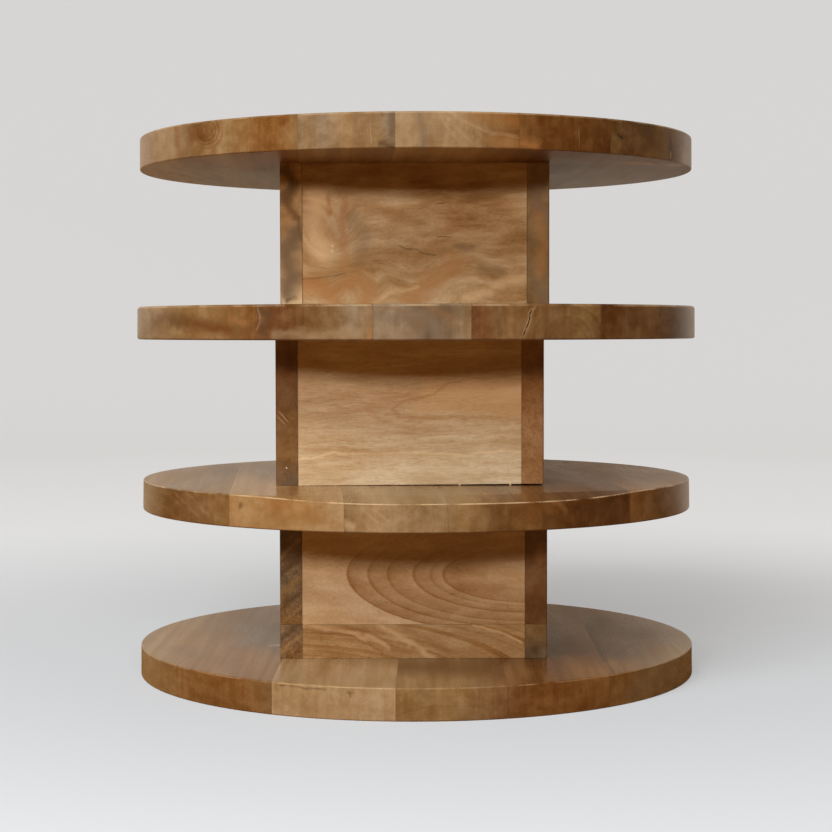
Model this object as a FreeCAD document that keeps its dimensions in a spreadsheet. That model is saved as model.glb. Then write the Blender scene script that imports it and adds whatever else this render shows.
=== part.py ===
import FreeCAD, Part
import os
import Sketcher
from enum import IntEnum

# Tiered side table: four round discs of edge-glued staves, held apart by three square box columns.
# Millimetres, +Z up, front of the table towards -Y, origin under the middle of the base disc.

doc = FreeCAD.newDocument("TieredSideTable")

# Driving dimensions
SIZES = [
    ("base_diameter", 505, "base disc, across"),
    ("base_thick", 27, "base disc, thickness"),
    ("base_turn", -0.5, "base disc, turn of its staves in degrees"),
    ("base_first_seam", 115.5, "base disc, first seam left of centre"),
    ("base_stave_2", 101, "base disc, width of second stave"),
    ("base_stave_3", 89, "base disc, width of third stave"),
    ("base_stave_4", 86, "base disc, width of fourth stave"),
    ("lower_shelf_diameter", 499, "lower shelf, across"),
    ("lower_shelf_thick", 27, "lower shelf, thickness"),
    ("lower_shelf_turn", 3.7, "lower shelf, turn of its staves in degrees"),
    ("lower_shelf_first_seam", 166, "lower shelf, first seam left of centre"),
    ("lower_shelf_stave_2", 93, "lower shelf, width of second stave"),
    ("lower_shelf_stave_3", 82, "lower shelf, width of third stave"),
    ("lower_shelf_stave_4", 77, "lower shelf, width of fourth stave"),
    ("lower_shelf_stave_5", 79.5, "lower shelf, width of fifth stave"),
    ("upper_shelf_diameter", 507, "upper shelf, across"),
    ("upper_shelf_thick", 29, "upper shelf, thickness"),
    ("upper_shelf_turn", 2, "upper shelf, turn of its staves in degrees"),
    ("upper_shelf_first_seam", 136.5, "upper shelf, first seam left of centre"),
    ("upper_shelf_stave_2", 94, "upper shelf, width of second stave"),
    ("upper_shelf_stave_3", 77.5, "upper shelf, width of third stave"),
    ("upper_shelf_stave_4", 108, "upper shelf, width of fourth stave"),
    ("top_diameter", 500, "top disc, across"),
    ("top_thick", 29, "top disc, thickness"),
    ("top_turn", 2.5, "top disc, turn of its staves in degrees"),
    ("top_first_seam", 104, "top disc, first seam left of centre"),
    ("top_stave_2", 77, "top disc, width of second stave"),
    ("top_stave_3", 99, "top disc, width of third stave"),
    ("top_stave_4", 78, "top disc, width of fourth stave"),
    ("rim_upper_ease", 3.2, "each disc's upper rim, width of its sanded edge"),
    ("rim_lower_ease", 2, "each disc's lower rim, width of its sanded edge"),
    ("column_width", 231, "columns, left to right"),
    ("column_depth", 231, "columns, front to back"),
    ("panel_thick", 19, "thickness of the column panels"),
    ("panel_ease", 1.2, "sanded edge of the columns' upright corners"),
    ("lower_height", 123, "lower column, height"),
    ("lower_shift", -2.5, "lower column, place of its centre along X"),
    ("lower_board", 29.5, "lower column, height of its lower boards"),
    ("middle_height", 126, "middle column, height"),
    ("middle_shift", -5.5, "middle column, place of its centre along X"),
    ("middle_gap", 1.2, "middle column, gap under its right side"),
    ("middle_gap_start", 37, "middle column, where the gap starts along its front panel"),
    ("upper_height", 122, "upper column, height"),
    ("upper_shift", -1, "upper column, place of its centre along X"),
    ("cleat_width", 22, "cleats inside the columns, width"),
    ("cleat_height", 20, "cleats inside the columns, height"),
    ("cleat_end_gap", 1.5, "room at each end of a cleat"),
    ("screw_diameter", 5, "coach screws, shank"),
    ("screw_bite", 9, "coach screws, length in the disc"),
    ("screw_head", 8, "coach screws, hexagon head across its flats"),
    ("screw_head_height", 3.5, "coach screws, height of the head"),
    ("screw_clearance", 0.2, "room around a screw in its cleat"),
    ("pilot_extra", 1, "depth of a pilot hole past the screw's tip"),
]

DISCS = ("base", "lower_shelf", "upper_shelf", "top")
COLUMNS = ("lower", "middle", "upper")

# A quarter round's middle lies this share of its radius inside the corner
ROUND_INSET = "(1 - cos(45))"

# Sketch references: for X and Y, the kind of distance and the axis where it is zero
KINDS = ("DistanceX", "DistanceY")
AXES = (-2, -1)
ORIGIN = -1


class LineEnd(IntEnum):
    """Number that a sketch gives to each end of a line."""

    START = 1
    END = 2


sheet = doc.addObject("Spreadsheet::Sheet", "Sizes")
for row, (alias, value, note) in enumerate(SIZES, start=1):
    sheet.set(f"A{row}", note)
    sheet.set(f"B{row}", str(value))
    sheet.setAlias(f"B{row}", alias)
doc.recompute()

sub_parts = []


def bind(item, expressions):
    """Ties properties of an object to expressions of the sheet's sizes."""
    for path, expression in expressions.items():
        item.setExpression(path, expression)


def place(item, x, y, z):
    """Ties an object's place to three expressions."""
    bind(item, {"Placement.Base.x": x, "Placement.Base.y": y, "Placement.Base.z": z})


def half_turn(item, axis):
    """Turns an object by half a turn about its own axis, before it is placed."""
    item.Placement = FreeCAD.Placement(FreeCAD.Vector(), FreeCAD.Rotation(axis, 180))


def edge_boxes(feature):
    """Each of a feature's edges as its name and its bounding box."""
    for number, edge in enumerate(feature.Shape.Edges, start=1):
        yield f"Edge{number}", edge.BoundBox


def outline(body, name, corners):
    """A closed outline on the body's XZ plane, through corners given as two expressions each."""
    sketch = body.newObject("Sketcher::SketchObject", name)
    planes = {plane.Role: plane for plane in body.Origin.OriginFeatures}
    sketch.AttachmentSupport = (planes["XZ_Plane"], [""])
    sketch.MapMode = "FlatFace"
    points = [FreeCAD.Vector(*(float(sheet.evalExpression(side)) for side in corner)) for corner in corners]
    for start, end in zip(points, points[1:] + points[:1]):
        sketch.addGeometry(Part.LineSegment(start, end), False)
    for number, corner in enumerate(corners):
        after = (number + 1) % len(corners)
        join = Sketcher.Constraint("Coincident", number, LineEnd.END, after, LineEnd.START)
        sketch.addConstraint(join)
        for kind, axis, side, value in zip(KINDS, AXES, corner, points[number]):
            if side == "0":
                sketch.addConstraint(Sketcher.Constraint("PointOnObject", number, LineEnd.START, axis))
            else:
                rule = Sketcher.Constraint(kind, ORIGIN, LineEnd.START, number, LineEnd.START, value)
                sketch.setExpression(f"Constraints[{sketch.addConstraint(rule)}]", side)
    return sketch


# Levels from the floor up, and the places of the screws in a column

disc_level = {}
column_level = {}
level = "0"
for disc, column in zip(DISCS, COLUMNS + (None,)):
    disc_level[disc] = level
    level += f" + Sizes.{disc}_thick"
    if column:
        column_level[column] = level
        level += f" + Sizes.{column}_height"

CLEAT_PLACE = "(Sizes.column_depth / 2 - Sizes.panel_thick - Sizes.cleat_width / 2)"
CLEAT_LENGTH = "(Sizes.column_width - 2 * Sizes.panel_thick - 2 * Sizes.cleat_end_gap)"
FRONT_WIDTH = "(Sizes.column_width - 2 * Sizes.panel_thick)"
PILOT_DEPTH = "(Sizes.screw_bite + Sizes.pilot_extra)"
SCREW_SEAT = "(Sizes.cleat_height + Sizes.screw_head_height)"
CLEAT_SIDE = {"front": f"0 - {CLEAT_PLACE}", "back": CLEAT_PLACE}


# Discs: a turned blank with sanded rims and pilot holes, parted along the seams of its staves


def rim_corners(disc):
    """Half of a disc's section. The rim's lower edge is broken, its upper edge sanded to two flats."""
    radius = f"Sizes.{disc}_diameter / 2"
    thick = f"Sizes.{disc}_thick"
    lower, upper = "Sizes.rim_lower_ease", "Sizes.rim_upper_ease"
    inset = f"{upper} * {ROUND_INSET}"
    return [
        ("0", "0"),
        (f"{radius} - {lower}", "0"),
        (radius, lower),
        (radius, f"{thick} - {upper}"),
        (f"{radius} - {inset}", f"{thick} - {inset}"),
        (f"{radius} - {upper}", thick),
        ("0", thick),
    ]


def disc_blank(disc, column_below, column_above):
    body = doc.addObject("PartDesign::Body", f"{disc}_blank")
    section = outline(body, f"{disc}_section", rim_corners(disc))
    turning = body.newObject("PartDesign::Revolution", f"{disc}_turning")
    turning.Profile = section
    turning.ReferenceAxis = (section, ["V_Axis"])
    turning.Angle = 360
    for column, height in ((column_below, "0"), (column_above, f"Sizes.{disc}_thick - {PILOT_DEPTH}")):
        if column:
            for face, y in CLEAT_SIDE.items():
                pilot = body.newObject("PartDesign::SubtractiveCylinder", f"{disc}_{column}_{face}_pilot")
                bind(pilot, {"Radius": "Sizes.screw_diameter / 2", "Height": PILOT_DEPTH})
                place(pilot, f"Sizes.{column}_shift", y, height)
    place(body, "0", "0", disc_level[disc])
    return body


def part_into_staves(disc, blank):
    turn = f"Sizes.{disc}_turn"
    reach = f"Sizes.{disc}_diameter"
    edge = f"-{reach}"
    next_edge = f"-Sizes.{disc}_first_seam"
    inner_staves = [alias for alias, _, _ in SIZES if alias.startswith(f"{disc}_stave_")]
    last = len(inner_staves) + 2
    for number in range(1, last + 1):
        if number == last:
            next_edge = reach
        elif number > 1:
            next_edge = f"{edge} + Sizes.{disc}_stave_{number}"
        plank = doc.addObject("Part::Box", f"{disc}_plank_{number}")
        bind(plank, {"Length": f"({next_edge}) - ({edge})", "Width": f"2 * {reach}"})
        bind(plank, {"Height": f"Sizes.{disc}_thick", "Placement.Rotation.Angle": turn})
        place(
            plank,
            f"({edge}) * cos({turn}) + {reach} * sin({turn})",
            f"({edge}) * sin({turn}) - {reach} * cos({turn})",
            disc_level[disc],
        )
        stave = doc.addObject("Part::Common", f"{disc}_stave_{number}")
        stave.Base = blank
        stave.Tool = plank
        sub_parts.append(stave)
        edge = next_edge


# Column panels: side panels over the whole depth, front and back panels between them


def side_board(label, column, side, bottom, height):
    """A side panel, or one board of it, with its two outer upright corners eased."""
    body = doc.addObject("PartDesign::Body", label)
    plain = body.newObject("PartDesign::AdditiveBox", f"{label}_plain")
    bind(plain, {"Length": "Sizes.panel_thick", "Width": "Sizes.column_depth", "Height": height})
    doc.recompute()
    corners = [name for name, box in edge_boxes(plain) if box.XMax == 0 and box.ZLength > box.YLength]
    easing = body.newObject("PartDesign::Chamfer", f"{label}_corners")
    easing.Base = (plain, corners)
    easing.setExpression("Size", "Sizes.panel_ease")
    centre = f"Sizes.{column}_shift"
    if side == "left":
        place(body, f"{centre} - Sizes.column_width / 2", "-Sizes.column_depth / 2", bottom)
    else:
        half_turn(body, FreeCAD.Vector(0, 0, 1))
        place(body, f"{centre} + Sizes.column_width / 2", "Sizes.column_depth / 2", bottom)
    sub_parts.append(body)


FACE_PLACE = {
    "front": "-Sizes.column_depth / 2",
    "back": "Sizes.column_depth / 2 - Sizes.panel_thick",
}


def face_board(label, column, face, bottom, height):
    """A front or back panel, or one board of it."""
    board = doc.addObject("Part::Box", label)
    bind(board, {"Length": FRONT_WIDTH, "Width": "Sizes.panel_thick", "Height": height})
    place(board, f"Sizes.{column}_shift - {FRONT_WIDTH} / 2", FACE_PLACE[face], bottom)
    sub_parts.append(board)


def relieved_front(label, column):
    """A front panel whose lower edge rises to the right, away from the disc."""
    body = doc.addObject("PartDesign::Body", label)
    height = f"Sizes.{column}_height"
    corners = [
        ("0", "0"),
        (f"Sizes.{column}_gap_start", "0"),
        (FRONT_WIDTH, f"Sizes.{column}_gap"),
        (FRONT_WIDTH, height),
        ("0", height),
    ]
    pad = body.newObject("PartDesign::Pad", f"{label}_pad")
    pad.Profile = outline(body, f"{label}_outline", corners)
    pad.Reversed = True
    pad.setExpression("Length", "Sizes.panel_thick")
    place(body, f"Sizes.{column}_shift - {FRONT_WIDTH} / 2", FACE_PLACE["front"], column_level[column])
    sub_parts.append(body)


# Hidden fixings: cleats along the front and back panels, screwed to the discs above and below


def cleat(column, face, end):
    label = f"{column}_column_{face}_{end}_cleat"
    body = doc.addObject("PartDesign::Body", label)
    bar = body.newObject("PartDesign::AdditiveBox", f"{label}_bar")
    bind(bar, {"Length": CLEAT_LENGTH, "Width": "Sizes.cleat_width", "Height": "Sizes.cleat_height"})
    place(bar, f"0 - {CLEAT_LENGTH} / 2", "-Sizes.cleat_width / 2", "0")
    hole = body.newObject("PartDesign::SubtractiveCylinder", f"{label}_hole")
    hole_radius = "Sizes.screw_diameter / 2 + Sizes.screw_clearance"
    bind(hole, {"Radius": hole_radius, "Height": "Sizes.cleat_height"})
    bottom = column_level[column]
    if end == "top":
        bottom += f" + Sizes.{column}_height - Sizes.cleat_height"
    place(body, f"Sizes.{column}_shift", CLEAT_SIDE[face], bottom)
    sub_parts.append(body)


def coach_screw(label, column, face, end):
    """A hexagon-headed screw whose head seats on its cleat and whose shank bites into the disc."""
    head = doc.addObject("Part::Prism", f"{label}_head")
    head.Polygon = 6
    bind(head, {"Circumradius": "Sizes.screw_head / sqrt(3)", "Height": "Sizes.screw_head_height"})
    shank = doc.addObject("Part::Cylinder", f"{label}_shank")
    bind(shank, {"Radius": "Sizes.screw_diameter / 2", "Height": "Sizes.cleat_height + Sizes.screw_bite"})
    place(shank, "0", "0", "Sizes.screw_head_height")
    screw = doc.addObject("Part::Fuse", label)
    screw.Base = head
    screw.Tool = shank
    if end == "bottom":
        half_turn(screw, FreeCAD.Vector(1, 0, 0))
        head_level = f"{column_level[column]} + {SCREW_SEAT}"
    else:
        head_level = f"{column_level[column]} + Sizes.{column}_height - {SCREW_SEAT}"
    place(screw, f"Sizes.{column}_shift", CLEAT_SIDE[face], head_level)
    return screw


def column_fixings(column):
    """A column's four cleats, and its screws as one group."""
    screws = []
    for face in CLEAT_SIDE:
        for end in ("bottom", "top"):
            cleat(column, face, end)
            screws.append(coach_screw(f"{column}_{face}_{end}_screw", column, face, end))
    group = doc.addObject("Part::Compound", f"{column}_column_screws")
    group.Links = screws
    sub_parts.append(group)


# Assembly, from the floor up

for number, disc in enumerate(DISCS):
    below = COLUMNS[number - 1] if number else None
    above = COLUMNS[number] if number < len(COLUMNS) else None
    part_into_staves(disc, disc_blank(disc, below, above))

bottom = column_level["lower"]
for board, z, height in (
    ("lower", bottom, "Sizes.lower_board"),
    ("upper", f"{bottom} + Sizes.lower_board", "Sizes.lower_height - Sizes.lower_board"),
):
    for side in ("left", "right"):
        side_board(f"lower_column_{side}_{board}_board", "lower", side, z, height)
    for face in ("front", "back"):
        face_board(f"lower_column_{face}_{board}_board", "lower", face, z, height)

bottom = column_level["middle"]
side_board("middle_column_left_panel", "middle", "left", bottom, "Sizes.middle_height")
side_board(
    "middle_column_right_panel",
    "middle",
    "right",
    f"{bottom} + Sizes.middle_gap",
    "Sizes.middle_height - Sizes.middle_gap",
)
relieved_front("middle_column_front_panel", "middle")
face_board("middle_column_back_panel", "middle", "back", bottom, "Sizes.middle_height")

bottom = column_level["upper"]
for side in ("left", "right"):
    side_board(f"upper_column_{side}_panel", "upper", side, bottom, "Sizes.upper_height")
for face in ("front", "back"):
    face_board(f"upper_column_{face}_panel", "upper", face, bottom, "Sizes.upper_height")

for column in COLUMNS:
    column_fixings(column)

doc.recompute()

# Every object is sound before anything is written
for item in doc.Objects:
    if "Invalid" in item.State or "Error" in item.State:
        raise RuntimeError(f"{item.Label} did not build: {item.State}")
for item in sub_parts:
    if item.Shape.isNull() or not item.Shape.isValid():
        raise RuntimeError(f"{item.Label} has no valid shape")

os.makedirs("parts", exist_ok=True)
for item in sub_parts:
    item.Shape.exportStep(f"parts/{item.Label}.step")
print(f"{len(sub_parts)} sub-parts written")
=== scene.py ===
import math
from dataclasses import dataclass

import bmesh
import bpy
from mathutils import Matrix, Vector


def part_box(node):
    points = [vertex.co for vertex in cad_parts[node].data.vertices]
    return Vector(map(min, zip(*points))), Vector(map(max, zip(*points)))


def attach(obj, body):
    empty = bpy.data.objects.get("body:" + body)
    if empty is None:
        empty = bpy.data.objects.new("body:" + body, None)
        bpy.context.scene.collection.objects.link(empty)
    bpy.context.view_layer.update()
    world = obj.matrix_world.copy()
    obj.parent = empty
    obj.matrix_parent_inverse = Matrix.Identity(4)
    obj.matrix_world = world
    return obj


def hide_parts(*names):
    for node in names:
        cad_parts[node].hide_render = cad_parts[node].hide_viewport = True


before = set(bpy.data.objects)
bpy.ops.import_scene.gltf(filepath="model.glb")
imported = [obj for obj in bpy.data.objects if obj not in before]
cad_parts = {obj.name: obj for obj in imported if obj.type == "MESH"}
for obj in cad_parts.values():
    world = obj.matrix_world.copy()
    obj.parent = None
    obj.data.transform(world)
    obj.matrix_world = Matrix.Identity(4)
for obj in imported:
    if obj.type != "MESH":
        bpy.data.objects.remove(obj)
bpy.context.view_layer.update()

# Tiered side table of oiled hardwood: four discs of edge-glued staves on three box columns.
# Metres, +Z up, front of the table towards -Y. Sizes below are in millimetres where they carry MM.

MM = 0.001

DISCS = ("base", "lower_shelf", "upper_shelf", "top")


# Node trees


class Nodes:
    """Adds nodes to a shader or geometry tree, with their settings, values and links."""

    def __init__(self, tree):
        self.tree = tree

    def add(self, kind, values=None, **settings):
        node = self.tree.nodes.new(kind)
        for name, value in settings.items():
            setattr(node, name, value)
        self.fill(node, values or {})
        return node

    def fill(self, node, values):
        for socket, value in values.items():
            self.feed(node.inputs[socket], value)

    def feed(self, socket, value):
        if isinstance(value, bpy.types.NodeSocket):
            self.tree.links.new(value, socket)
        else:
            socket.default_value = value

    def maths(self, operation, *values, clamp=False):
        node = self.add("ShaderNodeMath", dict(enumerate(values)), operation=operation, use_clamp=clamp)
        return node.outputs[0]

    def vector(self, operation, *values):
        node = self.add("ShaderNodeVectorMath", operation=operation)
        for number, value in enumerate(values):
            socket = node.inputs["Scale"] if operation == "SCALE" and number == 1 else node.inputs[number]
            self.feed(socket, value)
        return node.outputs["Value" if operation in ("LENGTH", "DOT_PRODUCT") else "Vector"]

    def split(self, vector):
        return self.add("ShaderNodeSeparateXYZ", {0: vector}).outputs

    def join(self, x, y, z):
        return self.add("ShaderNodeCombineXYZ", {0: x, 1: y, 2: z}).outputs[0]

    def between(self, value, low, high):
        """Rises smoothly from 0 to 1 as the value goes from low to high."""
        values = {"Value": value, "From Min": low, "From Max": high}
        return self.add("ShaderNodeMapRange", values, interpolation_type="SMOOTHSTEP").outputs[0]

    def around(self, value, swing):
        """A value about 0.5 turned into a factor about 1, with that swing either way."""
        low = self.maths("SUBTRACT", 1.0, swing)
        return self.maths("MULTIPLY_ADD", value, self.maths("MULTIPLY", swing, 2.0), low)

    def noise(self, vector, frequency, detail=2.0, roughness=0.5, output=0):
        """Noise with its own frequency, in turns per metre, along each of the three directions."""
        stretched = self.vector("MULTIPLY", vector, frequency)
        values = {"Vector": stretched, "Scale": 1.0, "Detail": detail, "Roughness": roughness}
        return self.add("ShaderNodeTexNoise", values).outputs[output]

    def drift(self, vector, frequency, amount):
        """A place moved about by noise, by up to about the amount."""
        away = self.vector("SUBTRACT", self.noise(vector, frequency, output=1), (0.5, 0.5, 0.5))
        return self.vector("ADD", vector, self.vector("SCALE", away, self.maths("MULTIPLY", amount, 2.0)))

    def mix(self, factor, first, second):
        return self.add("ShaderNodeMix", {0: factor, 6: first, 7: second}, data_type="RGBA").outputs[2]

    def shade(self, colour, factor):
        """A colour made darker or lighter by a factor."""
        return self.vector("SCALE", colour, factor)

    def deepen(self, colour, value, swing):
        """A colour made deeper where a value about 0.5 is low, and paler where it is high."""
        power = self.maths("SUBTRACT", 2.0, self.around(value, swing))
        return self.add("ShaderNodeGamma", {"Color": colour, "Gamma": power}).outputs[0]


SOCKET = {"value": "NodeSocketFloat", "vector": "NodeSocketVector", "colour": "NodeSocketColor"}


def new_group(name, inputs, outputs):
    """An empty shader group with named sockets of each kind: its nodes, its inputs and its output node."""
    tree = bpy.data.node_groups.new(name, "ShaderNodeTree")
    for way, sockets in (("INPUT", inputs), ("OUTPUT", outputs)):
        for kind, labels in sockets.items():
            for label in labels:
                tree.interface.new_socket(label, in_out=way, socket_type=SOCKET[kind])
    nodes = Nodes(tree)
    return nodes, nodes.add("NodeGroupInput").outputs, nodes.add("NodeGroupOutput")


# Shared effects of the wood. Board space has X across the board, Y along its grain and Z up.

ACROSS_ONLY = (1.0, 0.0, 1.0)
WANDER_TURNS = (14.0, 4.0, 14.0)
CURL_TURNS = (30.0, 24.0, 30.0)

# Noise of the figure: turns per metre across, along and up the board, then detail and roughness
FIGURE_NOISE = {
    "Fibre": ((1050.0, 30.0, 1050.0), 2.0, 0.6),
    "Lines": ((560.0, 5.0, 560.0), 3.0, 0.6),
    "Streak": ((110.0, 4.0, 110.0), 3.0, 0.6),
    "Rays": ((230.0, 6.0, 15.0), 2.0, 0.55),
    "Pores": ((900.0, 34.0, 900.0), 1.0, 0.4),
    "Crowding": ((55.0, 9.0, 55.0), 2.0, 0.5),
    "Blotch": ((24.0, 8.0, 24.0), 3.0, 0.55),
    "Smoke": ((26.0, 13.0, 40.0), 4.0, 0.62),
    "Speckle": ((480.0, 330.0, 480.0), 2.0, 0.6),
}
# The levels between which that noise rises from nothing to its full strength
USUAL_LIMITS = (0.3, 0.7)
FIGURE_LIMITS = {
    "Lines": (0.48, 0.74),
    "Pores": (0.58, 0.74),
    "Crowding": (0.42, 0.62),
    "Smoke": (0.46, 0.74),
}
FIGURE_PARTS = ("Rings", "Fibre", "Lines", "Streak", "Rays", "Pores", "Blotch", "Smoke", "Speckle")

YEAR_TURNS = 0.61
YEAR_SHIFT = 1.8
LATE_START = 0.2
LATE_PEAK = 0.93
VIGOUR_SWING = 0.8
LEAST_VIGOUR = 0.2
BROAD_RINGS = 0.9


def yearly_rings(nodes, year):
    """Rings that darken through each year, uneven in width and in strength."""
    slow = {"W": nodes.maths("MULTIPLY", year, YEAR_TURNS), "Scale": 1.0, "Detail": 2.0, "Roughness": 0.6}
    uneven = nodes.add("ShaderNodeTexNoise", slow, noise_dimensions="1D").outputs[0]
    year = nodes.maths("MULTIPLY_ADD", uneven, YEAR_SHIFT, year)
    season = nodes.maths("FRACT", year)
    rise = nodes.between(season, LATE_START, LATE_PEAK)
    late = nodes.maths("MULTIPLY", rise, nodes.between(season, 1.0, LATE_PEAK))
    count = {"W": nodes.maths("FLOOR", year)}
    vigour = nodes.add("ShaderNodeTexWhiteNoise", count, noise_dimensions="1D").outputs[0]
    late = nodes.maths("MULTIPLY", late, nodes.maths("MULTIPLY_ADD", vigour, VIGOUR_SWING, LEAST_VIGOUR))
    broad = nodes.maths("MULTIPLY", nodes.maths("SUBTRACT", uneven, 0.5), BROAD_RINGS)
    return nodes.maths("ADD", broad, late, clamp=True)


def wood_figure_group():
    """Growth rings about the pith, fibres, pores and slow changes of tone, all as solid wood has them."""
    nodes, given, out = new_group(
        "wood_figure",
        {"vector": ("Vector", "Pith", "Lean"), "value": ("Ring Gap", "Wander", "Curl")},
        {"value": ("Radius", *FIGURE_PARTS)},
    )
    along = nodes.split(given["Vector"])["Y"]
    leaning = nodes.vector("SCALE", given["Lean"], along)
    place = nodes.vector("SUBTRACT", nodes.vector("SUBTRACT", given["Vector"], given["Pith"]), leaning)
    place = nodes.drift(place, WANDER_TURNS, given["Wander"])
    place = nodes.drift(place, CURL_TURNS, given["Curl"])
    radius = nodes.vector("LENGTH", nodes.vector("MULTIPLY", place, ACROSS_ONLY))
    year = nodes.maths("DIVIDE", radius, given["Ring Gap"])
    figure = {"Radius": radius, "Rings": yearly_rings(nodes, year)}
    for label, (frequency, detail, roughness) in FIGURE_NOISE.items():
        cloud = nodes.noise(place, frequency, detail, roughness)
        figure[label] = nodes.between(cloud, *FIGURE_LIMITS.get(label, USUAL_LIMITS))
    figure["Pores"] = nodes.maths("MULTIPLY", figure["Pores"], figure.pop("Crowding"))
    nodes.fill(out, figure)
    return nodes.tree


END_LINES_FADE = 0.9
END_FIBRE_FADE = 0.7
OILED_ROUGHNESS = 0.25
BLOTCH_ROUGHNESS = 0.06
PORE_ROUGHNESS = 0.3
UNDERSIDE_ROUGHNESS = 0.17
FIBRE_HEIGHT = 0.3
RING_HEIGHT = 0.2


def wood_finish_group():
    """Colour, roughness and relief of an oiled board from its tone and its figure."""
    strengths = tuple(f"{label} Strength" for label in FIGURE_PARTS)
    nodes, given, out = new_group(
        "wood_finish",
        {
            "colour": ("Tone", "Late Tone", "Smoke Tone"),
            "value": (*FIGURE_PARTS, *strengths, "End Grain", "End Shade", "Underside"),
        },
        {"colour": ("Color",), "value": ("Roughness", "Height")},
    )

    def part(label):
        return nodes.maths("MULTIPLY", given[label], given[f"{label} Strength"])

    colour = nodes.mix(part("Rings"), given["Tone"], given["Late Tone"])
    for label in ("Blotch", "Streak"):
        colour = nodes.deepen(colour, given[label], given[f"{label} Strength"])
    rays = nodes.maths("MULTIPLY", given["End Grain"], given["Rays Strength"])
    colour = nodes.deepen(colour, given["Rays"], rays)
    long_grain = nodes.maths("MULTIPLY_ADD", given["End Grain"], -END_LINES_FADE, 1.0)
    colour = nodes.mix(nodes.maths("MULTIPLY", part("Lines"), long_grain), colour, given["Late Tone"])
    colour = nodes.mix(part("Smoke"), colour, given["Smoke Tone"])
    # End grain darker: partly the wood's own, partly painted shade that darkens rims against level faces
    end_shade = nodes.maths("MULTIPLY", given["End Grain"], given["End Shade"])
    colour = nodes.shade(colour, nodes.maths("SUBTRACT", 1.0, end_shade))
    fibre = nodes.maths("MULTIPLY_ADD", given["End Grain"], -END_FIBRE_FADE, 1.0)
    fibre = nodes.maths("MULTIPLY", fibre, given["Fibre Strength"])
    colour = nodes.shade(colour, nodes.around(given["Fibre"], fibre))
    colour = nodes.shade(colour, nodes.around(given["Speckle"], given["Speckle Strength"]))
    pores = part("Pores")
    colour = nodes.shade(colour, nodes.maths("SUBTRACT", 1.0, pores))

    rough = nodes.maths("MULTIPLY_ADD", given["Fibre"], given["Fibre Strength"], OILED_ROUGHNESS)
    rough = nodes.maths("MULTIPLY_ADD", given["Blotch"], BLOTCH_ROUGHNESS, rough)
    rough = nodes.maths("MULTIPLY_ADD", pores, PORE_ROUGHNESS, rough)
    rough = nodes.maths("MULTIPLY_ADD", given["Underside"], UNDERSIDE_ROUGHNESS, rough)

    height = nodes.maths("MULTIPLY", given["Rings"], RING_HEIGHT)
    height = nodes.maths("MULTIPLY_ADD", given["Fibre"], FIBRE_HEIGHT, height)
    height = nodes.maths("SUBTRACT", height, pores)
    nodes.fill(out, {"Color": colour, "Roughness": rough, "Height": height})
    return nodes.tree


RUBBING_AND_HIGHLIGHT_TURNS = (35.0, 35.0, 35.0)
RUBBING_AND_HIGHLIGHT_LIMITS = (0.36, 0.62)
ROUND_STARTS = (0.15, 0.5)
ROUND_ENDS = (0.98, 0.85)


def lit_worn_shaded_rim_group():
    """Upper round of a rim, facing part up, worn pale and a painted highlight; lower, facing part down,
    painted shade.
    """
    nodes, given, out = new_group(
        "rim_lit_worn_shaded", {"vector": ("Vector", "Facing")}, {"value": ("Upper Edge", "Lower Edge")}
    )

    def on_round(way):
        return nodes.maths("MULTIPLY", nodes.between(way, *ROUND_STARTS), nodes.between(way, *ROUND_ENDS))

    patchy = nodes.between(nodes.noise(given["Vector"], RUBBING_AND_HIGHLIGHT_TURNS, 4.0, 0.65), *RUBBING_AND_HIGHLIGHT_LIMITS)
    up = nodes.split(given["Facing"])["Z"]
    upper = nodes.maths("MULTIPLY", on_round(up), patchy)
    lower = on_round(nodes.maths("MULTIPLY", up, -1.0))
    nodes.fill(out, {"Upper Edge": upper, "Lower Edge": lower})
    return nodes.tree


def glue_line_group():
    """The fine dark line along a board's two glued edges."""
    nodes, given, out = new_group(
        "glue_line", {"value": ("Across", "Left", "Right", "Width")}, {"value": ("Line",)}
    )
    left = nodes.maths("ABSOLUTE", nodes.maths("SUBTRACT", given["Across"], given["Left"]))
    right = nodes.maths("ABSOLUTE", nodes.maths("SUBTRACT", given["Right"], given["Across"]))
    nearest = nodes.maths("MINIMUM", left, right)
    nodes.fill(out, {"Line": nodes.between(nearest, given["Width"], 0.0)})
    return nodes.tree


def segment_reach(nodes, point, start, end):
    """How far a point is from the line between two others, and the share of that line it lies beside."""
    run = nodes.vector("SUBTRACT", end, start)
    reach = nodes.vector("SUBTRACT", point, start)
    length = nodes.vector("DOT_PRODUCT", run, run)
    share = nodes.maths("DIVIDE", nodes.vector("DOT_PRODUCT", reach, run), length, clamp=True)
    return nodes.vector("LENGTH", nodes.vector("SUBTRACT", reach, nodes.vector("SCALE", run, share))), share


SWAY_TURNS = (75.0, 75.0, 75.0)
RAGGED_TURNS = (260.0, 260.0, 260.0)
RAGGED_SWING = 0.4
SWAY_SHARE = 1.1
MOST_SWAY = 5 * MM


def unevenness_group():
    """How the smudges of a board wander and fray."""
    nodes, given, out = new_group(
        "unevenness", {"vector": ("Vector",)}, {"vector": ("Sway",), "value": ("Ragged",)}
    )
    cloud = nodes.noise(given["Vector"], SWAY_TURNS, 1.0, 0.55, output=1)
    sway = nodes.vector("SCALE", nodes.vector("SUBTRACT", cloud, (0.5, 0.5, 0.5)), 2.0)
    nodes.fill(out, {"Sway": sway, "Ragged": nodes.noise(given["Vector"], RAGGED_TURNS, 3.0, 0.6)})
    return nodes.tree


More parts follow.
